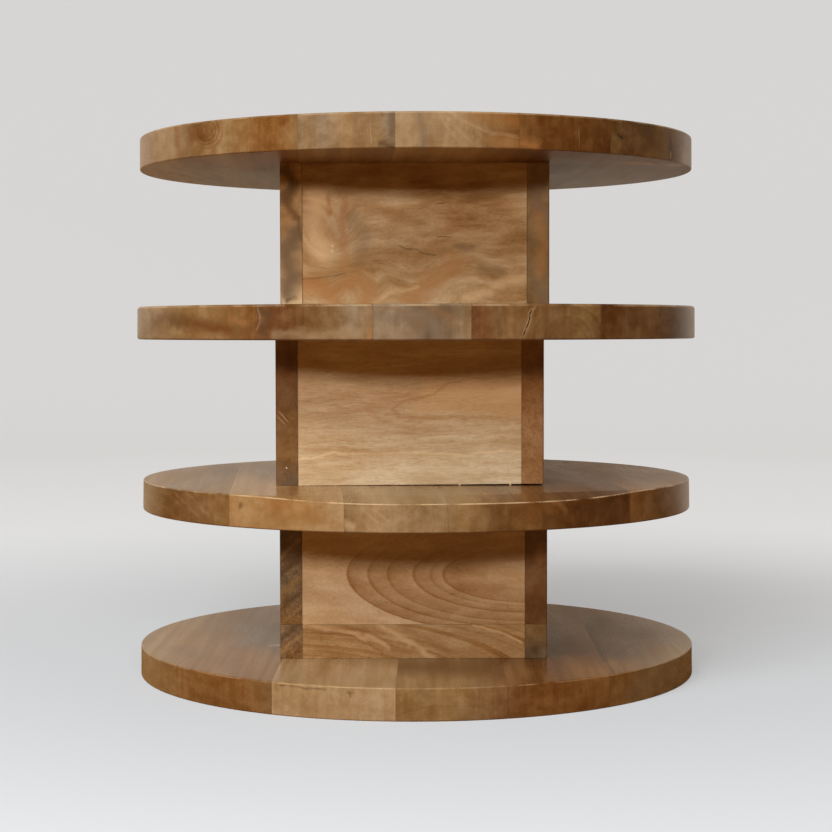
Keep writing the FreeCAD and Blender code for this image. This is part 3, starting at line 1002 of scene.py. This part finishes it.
SEED_STEP = 0.37
LINE_EDGE = 0.5
LINE_RISE = 0.7
LINE_FADE = 0.7
CHECK_DEPTH = 3.0
# The lower round of a stave's rim is darkened towards umber as painted shade
LOWER_ROUND_PAINTED_SHADE = 0.35
SEAM_WIDTH = 0.6 * MM
SEAM_SHADE = 0.45
JOINT_WIDTH = 1.2 * MM
JOINT_SHADE = 0.55
UNDERSIDE_FACING = (-0.5, -0.9)
OILED_SPECULAR = 0.38
RELIEF_DEPTH = 0.2 * MM
BLACK = (0.0, 0.0, 0.0, 1.0)


def new_material(name):
    """A material with its nodes, its shader and the places on its object."""
    material = bpy.data.materials.new(name)
    material.use_nodes = True
    nodes = Nodes(material.node_tree)
    place = nodes.add("ShaderNodeTexCoord").outputs["Object"]
    return material, nodes, material.node_tree.nodes["Principled BSDF"], place


def place_group(nodes, tree, values):
    """Places a shared effect in a material, with its own values."""
    return nodes.add("ShaderNodeGroup", values, node_tree=tree).outputs


def tone_ramp(nodes, share, tones):
    """Tones that follow one another over a board."""
    ramp = nodes.add("ShaderNodeValToRGB", {0: share})
    stops = ramp.color_ramp.elements
    stops[0].position, stops[0].color = tones[0][0], tone(tones[0][1])
    stops[1].position, stops[1].color = tones[-1][0], tone(tones[-1][1])
    for position, name in tones[1:-1]:
        stops.new(position).color = tone(name)
    return ramp.outputs["Color"]


def growth_lines(nodes, radius, lines, floor):
    """Single rings about the pith: each grows stronger outwards and ends in a sharp line."""
    reach = lines[-1][0] + 2 * LINE_EDGE
    share = nodes.maths("DIVIDE", radius, reach * MM, clamp=True)
    ramp = nodes.add("ShaderNodeValToRGB", {0: share})
    stops = ramp.color_ramp.elements
    stops[1].position = 1.0
    stops[1].color = BLACK
    inner = 0.0
    for distance, strength in lines:
        fine = distance - 2 * LINE_EDGE
        for place, value in ((inner, strength * floor), (fine, LINE_RISE * strength), (distance, strength)):
            stop = stops[0] if place == 0.0 else stops.new(place / reach)
            stop.color = (value, value, value, 1.0)
        inner = distance + LINE_EDGE
    stops.new(inner / reach).color = BLACK
    return ramp.outputs["Color"]


def grown_figure(nodes, board, timber, seed):
    """The board's own figure, with the swirls of its grain."""
    for swirl in timber.swirls:
        values = {
            "Vector": board,
            "Centre": (0.0, swirl.x * MM, swirl.z * MM),
            "Reach": swirl.reach * MM,
            "Turn": math.radians(swirl.turn),
        }
        board = place_group(nodes, GRAIN_SWIRL, values)["Vector"]
    values = {
        "Vector": board,
        "Pith": (timber.pith[0] * MM, seed * SEED_STEP, timber.pith[1] * MM),
        "Lean": (timber.lean[0], 0.0, timber.lean[1]),
        "Ring Gap": timber.ring_gap * MM,
        "Wander": timber.wander * MM,
        "Curl": timber.curl * MM,
    }
    return place_group(nodes, FIGURE, values)


def board_tone(nodes, sides, timber, lie, figure, surface):
    """The tones of a board with its growth lines, before its fibres and stains."""
    limits = {"Value": sides[lie.tone_axis], "From Min": lie.start, "From Max": lie.end}
    share = nodes.add("ShaderNodeMapRange", limits, clamp=False).outputs[0]
    sway = nodes.maths("SUBTRACT", figure["Blotch"], 0.5)
    share = nodes.maths("MULTIPLY_ADD", sway, surface.tone_drift, share)
    colour = nodes.shade(tone_ramp(nodes, share, timber.tones), timber.shade)
    if timber.growth_lines:
        lines = growth_lines(nodes, figure["Radius"], timber.growth_lines, timber.line_floor)
        if timber.line_fade:
            low, high = timber.line_fade
            faded = nodes.between(sides["Z"], low * MM, high * MM)
            lines = nodes.maths("MULTIPLY", lines, nodes.maths("MULTIPLY_ADD", faded, -LINE_FADE, 1.0))
        colour = nodes.mix(lines, colour, tone(timber.late))
    return colour


def finished_board(nodes, timber, lie, figure, facing, colour, surface):
    """Colour, roughness and relief of a board from its tones, its figure and the working of its surface."""
    grain = (math.sin(lie.turn), math.cos(lie.turn), 0.0)
    end_grain = nodes.maths("ABSOLUTE", nodes.vector("DOT_PRODUCT", facing, grain))
    face_streaks = timber.streaks + surface.face_streaks
    strengths = {
        "Rings": timber.rings,
        "Fibre": surface.fibre,
        "Lines": timber.lines * surface.lines,
        "Streak": nodes.maths("MULTIPLY_ADD", end_grain, -surface.face_streaks, face_streaks),
        "Rays": surface.rays,
        "Pores": surface.pores,
        "Blotch": timber.blotches,
        "Smoke": timber.smoke,
        "Speckle": timber.speckle,
    }
    values = {
        "Tone": colour,
        "Late Tone": tone(timber.late),
        "Smoke Tone": tone(timber.smoke_tone),
        "End Grain": end_grain,
        "End Shade": surface.end_shade,
        "Underside": nodes.between(nodes.split(facing)["Z"], *UNDERSIDE_FACING),
    }
    for label, strength in strengths.items():
        values[label] = figure[label]
        values[f"{label} Strength"] = strength
    return place_group(nodes, FINISH, values)


def add_smudge(nodes, uneven, place, colour, mark):
    strength = None
    for start, end in zip(mark.path, mark.path[1:]):
        values = {
            "Vector": place,
            "Sway": uneven["Sway"],
            "Ragged": uneven["Ragged"],
            "Start": Vector(start) * MM,
            "End": Vector(end) * MM,
            "Width": mark.width * MM,
        }
        part = place_group(nodes, SMUDGE, values)["Strength"]
        strength = nodes.maths("MAXIMUM", strength, part) if strength else part
    return nodes.mix(nodes.maths("MULTIPLY", strength, mark.strength), colour, tone(mark.tone))


def add_check(nodes, place, colour, height, mark):
    values = {
        "Vector": place,
        "Start": Vector(mark.start) * MM,
        "End": Vector(mark.end) * MM,
        "Width": mark.width * MM,
        "Wander": mark.wander * MM / 2,
    }
    crack = place_group(nodes, CHECK, values)
    colour = nodes.mix(nodes.maths("MULTIPLY", crack["Lip"], mark.lip), colour, tone("pale"))
    colour = nodes.mix(nodes.maths("MULTIPLY", crack["Crack"], mark.depth), colour, tone("char"))
    return colour, nodes.maths("MULTIPLY_ADD", crack["Crack"], -CHECK_DEPTH, height)


def add_lit_worn_shaded_rim(nodes, place, facing, colour, rubbed):
    """A stave's rim: upper round worn pale and a painted highlight, lower round darkened as painted shade."""
    rim_marks = place_group(nodes, LIT_WORN_SHADED_RIM, {"Vector": place, "Facing": facing})
    # Upper round paler, worn and a painted highlight; lower round darker as painted shade
    colour = nodes.mix(nodes.maths("MULTIPLY", rim_marks["Upper Edge"], rubbed), colour, tone("pale"))
    return nodes.mix(nodes.maths("MULTIPLY", rim_marks["Lower Edge"], LOWER_ROUND_PAINTED_SHADE), colour, tone("umber"))


def add_glue_lines(nodes, across, ends, width, shade, colour):
    values = {"Across": across, "Left": ends[0], "Right": ends[1], "Width": width}
    line = place_group(nodes, GLUE_LINE, values)["Line"]
    return nodes.mix(nodes.maths("MULTIPLY", line, shade), colour, tone("umber"))


def wood_material(name, timber, lie, seed, sanding=None):
    """A board of solid wood. A stave also has glue lines and worn rims, with painted highlight and shade."""
    surface = SANDED if sanding else PLANED
    material, nodes, shader, place = new_material(name)
    board = nodes.add("ShaderNodeMapping", {"Vector": place, "Rotation": (0.0, 0.0, lie.turn)}).outputs[0]
    sides = nodes.split(board)
    facing = nodes.add("ShaderNodeNewGeometry").outputs["Normal"]
    figure = grown_figure(nodes, board, timber, seed)
    colour = board_tone(nodes, sides, timber, lie, figure, surface)
    finish = finished_board(nodes, timber, lie, figure, facing, colour, surface)
    colour = finish["Color"]
    height = finish["Height"]

    uneven = place_group(nodes, UNEVENNESS, {"Vector": place})
    for mark in timber.marks:
        if isinstance(mark, Smudge):
            colour = add_smudge(nodes, uneven, place, colour, mark)
        else:
            colour, height = add_check(nodes, place, colour, height, mark)
    if sanding:
        colour = add_lit_worn_shaded_rim(nodes, place, facing, colour, sanding.rubbed)
        seams = (lie.start, lie.end)
        colour = add_glue_lines(nodes, sides[lie.tone_axis], seams, SEAM_WIDTH, SEAM_SHADE, colour)
    if lie.joints:
        colour = add_glue_lines(nodes, sides["Y"], lie.joints, JOINT_WIDTH, JOINT_SHADE, colour)

    relief = {"Height": height, "Strength": surface.relief, "Distance": RELIEF_DEPTH}
    look = {
        "Base Color": colour,
        "Roughness": finish["Roughness"],
        "Specular IOR Level": OILED_SPECULAR,
        "Normal": nodes.add("ShaderNodeBump", relief).outputs["Normal"],
    }
    nodes.fill(shader, look)
    return material


STEEL_DARK = (0.42, 0.42, 0.4, 1.0)
STEEL_BRIGHT = (0.6, 0.6, 0.58, 1.0)
STEEL_TURNS = (400.0, 400.0, 400.0)


def steel_material():
    """Dull zinc-plated steel of the hidden screws."""
    material, nodes, shader, place = new_material("zinc_plated_steel")
    cloud = nodes.noise(place, STEEL_TURNS, 3.0, 0.6)
    relief = {"Height": cloud, "Strength": 0.2, "Distance": 0.1 * MM}
    look = {
        "Base Color": nodes.mix(cloud, STEEL_DARK, STEEL_BRIGHT),
        "Roughness": nodes.maths("MULTIPLY_ADD", cloud, 0.25, 0.3),
        "Metallic": 1.0,
        "Normal": nodes.add("ShaderNodeBump", relief).outputs["Normal"],
    }
    nodes.fill(shader, look)
    return material


GLUE_TURNS = (900.0, 900.0, 900.0)


def glue_material():
    """Dull yellowish dried glue."""
    material, nodes, shader, place = new_material("dried_glue")
    cloud = nodes.noise(place, GLUE_TURNS, 2.0, 0.6)
    look = {
        "Base Color": nodes.mix(cloud, tone("sand"), tone("cream")),
        "Roughness": nodes.maths("MULTIPLY_ADD", cloud, 0.2, 0.35),
    }
    nodes.fill(shader, look)
    return material


# Pieces and their meshes


def new_piece(name, mesh):
    piece = bpy.data.objects.new(name, mesh)
    bpy.context.scene.collection.objects.link(piece)
    return piece


def settle(piece):
    """Turns a piece's modifiers into plain mesh."""
    depsgraph = bpy.context.evaluated_depsgraph_get()
    mesh = bpy.data.meshes.new_from_object(piece.evaluated_get(depsgraph), depsgraph=depsgraph)
    piece.modifiers.clear()
    piece.data = mesh
    mesh.name = piece.name


def run_tree(piece, tree, values):
    """Builds a piece by a geometry tree with the given inputs, and keeps the result as a plain mesh."""
    modifier = piece.modifiers.new(tree.name, "NODES")
    modifier.node_group = tree
    for socket in tree.interface.items_tree:
        if socket.in_out == "INPUT":
            modifier[socket.identifier] = values[socket.name]
    settle(piece)


def smooth_mesh(name, work, material):
    """A mesh that is smooth all over, of one material."""
    for face in work.faces:
        face.smooth = True
    mesh = bpy.data.meshes.new(name)
    work.to_mesh(mesh)
    work.free()
    mesh.materials.append(material)
    return mesh


def set_only_material(mesh, material):
    mesh.materials.clear()
    mesh.materials.append(material)


def stand_in(piece, node):
    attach(piece, "root")
    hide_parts(node)


# Turned staves: a disc with rounded, hand-worn rims, parted along the seams

ROUND_STEPS = 5
RIM_SEGMENTS = 288
SMOOTH_ANGLE = math.radians(32)
FLAT_FACING = 0.999
RIPPLE_TURNS = (9.0, 9.0, 40.0)
SEAM_SPARE = 20 * MM


@dataclass
class Rim:
    """How a disc's rim is sanded, in millimetres: its rounds, its unevenness and the worn slope at its arris.

    Rubbed tells how pale its upper round is, worn and as a painted highlight.
    """

    upper: float
    lower: float
    uneven: float
    # How pale the upper round is, worn and as a painted highlight
    rubbed: float
    worn_drop: float = 0.0
    worn_width: float = 0.0


RIMS = {
    "base": Rim(1.3, 1.2, 0.5, 0.2),
    "lower_shelf": Rim(1.4, 1.4, 0.8, 0.6, 3.4, 30.0),
    "upper_shelf": Rim(2.6, 1.8, 0.4, 0.3),
    "top": Rim(2.2, 1.4, 0.4, 0.25),
}
WORN_TOWARDS = math.radians(9)
WORN_LIMITS = (0.74, 0.97)
LEAST_SLOPE_WIDTH = 3.0 * MM
LEAST_SLOPE_DROP = 0.1 * MM

STAVE_SIZES = (
    "Radius",
    "Thickness",
    "Level",
    "Upper Round",
    "Lower Round",
    "Uneven",
    "Worn Drop",
    "Worn Width",
    "Left Seam",
    "Right Seam",
    "Turn",
)


def turned_disc(nodes, given):
    """A cylinder whose rows of points are moved to the rounds of the rim and to the worn slope."""
    rows = 2 * ROUND_STEPS + 2
    row_angle = math.pi / 2 / ROUND_STEPS
    blank = nodes.add(
        "GeometryNodeMeshCylinder",
        {"Vertices": RIM_SEGMENTS, "Side Segments": rows, "Radius": 1.0, "Depth": 1.0},
        fill_type="NGON",
    ).outputs["Mesh"]
    x, y, z = nodes.split(nodes.add("GeometryNodeInputPosition").outputs[0])
    row = nodes.maths("MULTIPLY", nodes.maths("ADD", z, 0.5), rows)
    above = nodes.maths("GREATER_THAN", row, ROUND_STEPS + 0.5)
    last = nodes.maths("GREATER_THAN", row, rows - 0.5)
    low_angle = nodes.maths("MULTIPLY", row, row_angle)
    high_angle = nodes.maths("MULTIPLY", nodes.maths("SUBTRACT", row, ROUND_STEPS + 1), row_angle)
    high_angle = nodes.maths("MINIMUM", high_angle, math.pi / 2)

    def short_of_round(label, function, angle):
        share = nodes.maths("SUBTRACT", 1.0, nodes.maths(function, angle))
        return nodes.maths("MULTIPLY", given[label], share)

    def pick(low, high):
        below = nodes.maths("SUBTRACT", 1.0, above)
        return nodes.maths("MULTIPLY_ADD", high, above, nodes.maths("MULTIPLY", low, below))

    worn_way = (math.sin(WORN_TOWARDS), -math.cos(WORN_TOWARDS), 0.0)
    worn = nodes.between(nodes.vector("DOT_PRODUCT", nodes.join(x, y, 0.0), worn_way), *WORN_LIMITS)
    slope_width = nodes.maths("MULTIPLY_ADD", worn, given["Worn Width"], LEAST_SLOPE_WIDTH)
    slope_drop = nodes.maths("MULTIPLY_ADD", worn, given["Worn Drop"], LEAST_SLOPE_DROP)
    upper_inset = short_of_round("Upper Round", "COSINE", high_angle)
    upper_inset = nodes.maths("MULTIPLY_ADD", last, slope_width, upper_inset)
    arris = nodes.maths("SUBTRACT", given["Thickness"], slope_drop)
    upper_height = nodes.maths("SUBTRACT", arris, short_of_round("Upper Round", "SINE", high_angle))
    upper_height = nodes.maths("MULTIPLY_ADD", last, slope_drop, upper_height)
    inset = pick(short_of_round("Lower Round", "SINE", low_angle), upper_inset)
    height = pick(short_of_round("Lower Round", "COSINE", low_angle), upper_height)

    ripple = nodes.noise(nodes.join(x, y, given["Level"]), RIPPLE_TURNS, 3.0, 0.55)
    hollow = nodes.maths("MULTIPLY", nodes.maths("MULTIPLY", ripple, given["Uneven"]), above)
    reach = nodes.maths("SUBTRACT", nodes.maths("SUBTRACT", given["Radius"], inset), hollow)
    place = nodes.join(
        nodes.maths("MULTIPLY", x, reach),
        nodes.maths("MULTIPLY", y, reach),
        nodes.maths("ADD", height, given["Level"]),
    )
    return nodes.add("GeometryNodeSetPosition", {"Geometry": blank, "Position": place}).outputs[0]


def seam_plank(nodes, given):
    """The plank between a stave's two seams, longer and taller than the disc."""
    left, right, thickness = given["Left Seam"], given["Right Seam"], given["Thickness"]
    width = nodes.maths("SUBTRACT", right, left)
    long = nodes.maths("MULTIPLY", given["Radius"], 3)
    tall = nodes.maths("MULTIPLY", thickness, 3)
    plank = nodes.add("GeometryNodeMeshCube", {"Size": nodes.join(width, long, tall)}).outputs["Mesh"]
    middle = nodes.maths("MULTIPLY", nodes.maths("ADD", left, right), 0.5)
    centre = nodes.join(middle, 0.0, nodes.maths("MULTIPLY_ADD", thickness, 0.5, given["Level"]))
    plank = nodes.add("GeometryNodeTransform", {"Geometry": plank, "Translation": centre}).outputs[0]
    spin = nodes.add("FunctionNodeEulerToRotation", {0: nodes.join(0.0, 0.0, given["Turn"])}).outputs[0]
    return nodes.add("GeometryNodeTransform", {"Geometry": plank, "Rotation": spin}).outputs[0]


def smooth_rounds(nodes, stave):
    """Smooth shading for a stave's rim, with flat faces and sharp edges kept."""

    def greater(value, limit):
        return nodes.add("FunctionNodeCompare", {0: value, 1: limit}, operation="GREATER_THAN").outputs[0]

    def set_smooth(geometry, domain, smooth, selection=True):
        values = {"Geometry": geometry, "Selection": selection, "Shade Smooth": smooth}
        return nodes.add("GeometryNodeSetShadeSmooth", values, domain=domain).outputs[0]

    facing = nodes.split(nodes.add("GeometryNodeInputNormal").outputs[0])["Z"]
    flat = greater(nodes.maths("ABSOLUTE", facing), FLAT_FACING)
    sharp = greater(nodes.add("GeometryNodeInputMeshEdgeAngle").outputs["Unsigned Angle"], SMOOTH_ANGLE)
    stave = set_smooth(stave, "FACE", True)
    stave = set_smooth(stave, "FACE", False, flat)
    return set_smooth(stave, "EDGE", False, sharp)


def stave_tree():
    """Geometry of one stave, from its disc's sizes and the places of its two seams."""
    tree = bpy.data.node_groups.new("turned_stave", "GeometryNodeTree")
    for label in STAVE_SIZES:
        tree.interface.new_socket(label, in_out="INPUT", socket_type="NodeSocketFloat")
    tree.interface.new_socket("Wood", in_out="INPUT", socket_type="NodeSocketMaterial")
    tree.interface.new_socket("Stave", in_out="OUTPUT", socket_type="NodeSocketGeometry")
    nodes = Nodes(tree)
    given = nodes.add("NodeGroupInput").outputs
    disc = turned_disc(nodes, given)
    parting = nodes.add("GeometryNodeMeshBoolean", operation="INTERSECT", solver="EXACT")
    for solid in (seam_plank(nodes, given), disc):
        tree.links.new(solid, parting.inputs["Mesh 2"])
    stave = smooth_rounds(nodes, parting.outputs["Mesh"])
    whole = nodes.add("GeometryNodeRealizeInstances", {0: stave}).outputs[0]
    made = nodes.add("GeometryNodeSetMaterial", {"Geometry": whole, "Material": given["Wood"]}).outputs[0]
    nodes.add("NodeGroupOutput", {0: made})
    return tree


STAVE = stave_tree()
seed = 0
for disc in DISCS:
    size = disc_sizes[disc]
    sanding = RIMS[disc]
    names = staves_of(disc)
    for node in names:
        seed += 1
        turn, left, right = seams_of(node)
        if node == names[0]:
            left = -size.radius
        if node == names[-1]:
            right = size.radius
        lie = Lie(-turn, "X", left, right)
        wood = wood_material(f"{node}_wood", timbers[node], lie, seed, sanding)
        piece = new_piece(f"{node}_turned", bpy.data.meshes.new(node))
        run_tree(
            piece,
            STAVE,
            {
                "Radius": size.radius,
                "Thickness": size.upper - size.lower,
                "Upper Round": sanding.upper * MM,
                "Lower Round": sanding.lower * MM,
                "Worn Drop": sanding.worn_drop * MM,
                "Worn Width": sanding.worn_width * MM,
                "Left Seam": left - SEAM_SPARE if node == names[0] else left,
                "Right Seam": right + SEAM_SPARE if node == names[-1] else right,
                "Turn": turn,
                "Level": size.lower,
                "Uneven": sanding.uneven * MM,
                "Wood": wood,
            },
        )
        stand_in(piece, node)


# Column boards, with every edge eased

BOARD_EASE = 0.45 * MM
EASE_STEPS = 2
EASE_ANGLE = math.radians(30)
MERGE_DISTANCE = 0.001 * MM
FLAT_ANGLE = math.radians(0.5)


def eased_board(node, material):
    """A board with the outline of its node and finely rounded edges."""
    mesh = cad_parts[node].data.copy()
    work = bmesh.new()
    work.from_mesh(mesh)
    bmesh.ops.remove_doubles(work, verts=work.verts, dist=MERGE_DISTANCE)
    bmesh.ops.dissolve_limit(work, angle_limit=FLAT_ANGLE, verts=work.verts, edges=work.edges)
    work.to_mesh(mesh)
    work.free()
    set_only_material(mesh, material)
    piece = new_piece(f"{node}_eased", mesh)
    easing = piece.modifiers.new("easing", "BEVEL")
    easing.width = BOARD_EASE
    easing.segments = EASE_STEPS
    easing.limit_method = "ANGLE"
    easing.angle_limit = EASE_ANGLE
    settle(piece)
    stand_in(piece, node)


for node in sorted(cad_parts):
    if node in timbers and "_column_" in node:
        seed += 1
        low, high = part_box(node)
        if "_left_" in node or "_right_" in node:
            lie = Lie(0.0, "Z", low.z, high.z)
        else:
            lie = Lie(math.pi / 2, "Z", low.z, high.z, (low.x, high.x))
        eased_board(node, wood_material(f"{node}_wood", timbers[node], lie, seed))


# Hidden cleats and screws keep the frame's shapes

steel = steel_material()
for node in sorted(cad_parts):
    if node.endswith("_cleat"):
        seed += 1
        low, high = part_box(node)
        lie = Lie(math.pi / 2, "Z", low.z, high.z)
        set_only_material(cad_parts[node].data, wood_material(f"{node}_wood", CLEAT_TIMBER, lie, seed))
    elif node.endswith("_screws"):
        set_only_material(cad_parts[node].data, steel)


# Dried glue pressed out of the joint under the middle column: how far right each bead is, and its size

GLUE_BEADS = ((37.5, 1.3), (81.0, 1.1))
BEAD_SHAPE = (1.0, 0.7, 0.7)
BEAD_LIFT = 0.6


def build_glue_beads():
    work = bmesh.new()
    shelf = disc_sizes["lower_shelf"].upper
    for x, size in GLUE_BEADS:
        bead = bmesh.ops.create_icosphere(work, subdivisions=2, radius=size * MM)["verts"]
        bmesh.ops.scale(work, verts=bead, vec=BEAD_SHAPE)
        bmesh.ops.translate(work, verts=bead, vec=(x * MM, COLUMN_FRONT * MM, shelf + BEAD_LIFT * size * MM))
    mesh = smooth_mesh("glue_beads", work, glue_material())
    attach(new_piece("glue_beads", mesh), "root")


build_glue_beads()


# Stage: a round pale floor that sweeps up into a pale wall

FLOOR_RADIUS = 3.2
SWEEP_RADIUS = 1.2
WALL_HEIGHT = 3.0
SWEEP_STEPS = 12
STAGE_SEGMENTS = 96
STAGE_COLOUR = (0.30, 0.298, 0.295, 1.0)
STAGE_GLOW = (0.62, 0.618, 0.61, 1.0)
STAGE_ROUGHNESS = 0.9
STAGE_SPECULAR = 0.1
BOUNCE_COLOUR = (0.40, 0.205, 0.065, 1.0)
MIRROR_COLOUR = (0.62, 0.56, 0.48, 1.0)
MIRROR_LOW_LEFT = (0.45, 0.39, 0.27, 1.0)
FLOOR_LIFT = 0.55
WALL_LIFT = 0.9
LIFT_REACH = (0.25, 1.4)

# In reflections: an upright band of painted shadow, the bright far side and the warmer low left, each none to
# full
BAND_LEFT = (-0.5, 0.3)
BAND_RIGHT = (0.95, 0.55)
BAND_FOOT = (0.5, 0.75)
BAND_DIM = 0.95
FAR_BACK = (0.2, 1.0)
FAR_ASIDE = (1.0, 0.6)
WARM_BELOW = (0.35, 0.15)
WARM_LEFTWARDS = (1.0, -1.0)


def stage_material():
    """Pale to the camera and in reflections of its far side. Elsewhere it gives a dim, warm bounce."""
    material, nodes, shader, place = new_material("pale_stage")
    path = nodes.add("ShaderNodeLightPath").outputs
    right, back, up = nodes.split(place)
    # The band dims what reflections see of the stage: a painted shadow of the table
    band = nodes.maths("MULTIPLY", nodes.between(right, *BAND_LEFT), nodes.between(right, *BAND_RIGHT))
    band = nodes.maths("MULTIPLY", band, nodes.between(up, *BAND_FOOT))
    dim = nodes.maths("MULTIPLY_ADD", band, -BAND_DIM, 1.0)
    reach = nodes.vector("LENGTH", nodes.vector("MULTIPLY", place, (1.0, 1.0, 0.0)))
    aside = nodes.maths("DIVIDE", nodes.maths("ABSOLUTE", right), reach)
    far = nodes.maths("MULTIPLY", nodes.between(back, *FAR_BACK), nodes.between(aside, *FAR_ASIDE))
    mirrored = nodes.maths("MULTIPLY", path["Is Glossy Ray"], nodes.maths("MULTIPLY", far, dim))
    seen = nodes.maths("ADD", path["Is Camera Ray"], path["Is Transmission Ray"], clamp=True)
    lift = nodes.maths("MULTIPLY_ADD", nodes.between(reach, *LIFT_REACH), WALL_LIFT - FLOOR_LIFT, FLOOR_LIFT)
    warm = nodes.maths("MULTIPLY", nodes.between(up, *WARM_BELOW), nodes.between(right, *WARM_LEFTWARDS))
    mirror = nodes.mix(warm, MIRROR_COLOUR, MIRROR_LOW_LEFT)
    glow = nodes.maths("MULTIPLY_ADD", seen, lift, nodes.maths("MULTIPLY", mirrored, WALL_LIFT))
    look = {
        "Base Color": nodes.mix(seen, BOUNCE_COLOUR, STAGE_COLOUR),
        "Emission Color": nodes.mix(path["Is Glossy Ray"], STAGE_GLOW, mirror),
        "Emission Strength": glow,
        "Roughness": STAGE_ROUGHNESS,
        "Specular IOR Level": STAGE_SPECULAR,
    }
    nodes.fill(shader, look)
    return material


def build_stage():
    work = bmesh.new()
    profile = [(0.0, 0.0), (FLOOR_RADIUS, 0.0)]
    for step in range(1, SWEEP_STEPS + 1):
        angle = math.pi / 2 * step / SWEEP_STEPS
        reach = FLOOR_RADIUS + SWEEP_RADIUS * math.sin(angle)
        profile.append((reach, SWEEP_RADIUS * (1 - math.cos(angle))))
    profile.append((FLOOR_RADIUS + SWEEP_RADIUS, WALL_HEIGHT))
    line = [work.verts.new((reach, 0.0, height)) for reach, height in profile]
    edges = [work.edges.new(pair) for pair in zip(line, line[1:])]
    bmesh.ops.spin(
        work,
        geom=line + edges,
        cent=(0, 0, 0),
        axis=(0, 0, 1),
        angle=2 * math.pi,
        steps=STAGE_SEGMENTS,
        use_merge=True,
    )
    bmesh.ops.remove_doubles(work, verts=work.verts, dist=MM)
    bmesh.ops.recalc_face_normals(work, faces=work.faces)
    mesh = smooth_mesh("stage", work, stage_material())
    new_piece("stage", mesh)


build_stage()


# Light and camera

DAYLIGHT = (0.95, 1.02, 1.1)
WHITE = (1.0, 1.0, 1.0)
TABLE_MIDDLE = Vector((0.0, 0.0, 0.24))
WORLD_COLOUR = (1.0, 0.86, 0.7, 1.0)
WORLD_STRENGTH = 0.04


def soft_light(name, power, size, place, colour=WHITE):
    """A wide lamp aimed at the middle of the table."""
    lamp = bpy.data.lights.new(name, "AREA")
    lamp.energy = power
    lamp.color = colour
    lamp.shape = "RECTANGLE"
    lamp.size, lamp.size_y = size
    light = bpy.data.objects.new(name, lamp)
    light.location = place
    light.rotation_euler = (TABLE_MIDDLE - Vector(place)).to_track_quat("-Z", "Y").to_euler()
    light.visible_camera = False
    light.visible_glossy = False
    bpy.context.scene.collection.objects.link(light)


soft_light("window", 66.0, (2.0, 0.25), (-0.2, -2.65, 0.97), DAYLIGHT)
soft_light("room", 90.0, (1.8, 1.2), (-1.0, -2.1, 2.2), DAYLIGHT)
soft_light("ceiling", 8.0, (2.4, 2.4), (0.0, 0.3, 2.7))
soft_light("far_side", 12.0, (2.4, 1.2), (0.3, 3.0, 2.2))

world = bpy.data.worlds.new("room")
world.use_nodes = True
world.node_tree.nodes["Background"].inputs["Color"].default_value = WORLD_COLOUR
world.node_tree.nodes["Background"].inputs["Strength"].default_value = WORLD_STRENGTH
bpy.context.scene.world = world

CAMERA_PLACE = (0.0, -1.7528, 0.3128)
CAMERA_PITCH = 2.65
CAMERA_ROLL = 0.107
FOCAL_PIXELS = 1904.7
IMAGE_PIXELS = 832
SENSOR = 36.0

camera = bpy.data.objects.new("camera", bpy.data.cameras.new("camera"))
camera.data.sensor_width = SENSOR
camera.data.lens = FOCAL_PIXELS / IMAGE_PIXELS * SENSOR
camera.location = CAMERA_PLACE
camera.rotation_euler = (math.radians(90 - CAMERA_PITCH), math.radians(CAMERA_ROLL), 0.0)
bpy.context.scene.collection.objects.link(camera)
bpy.context.scene.camera = camera
bpy.context.scene.view_settings.view_transform = "Standard"
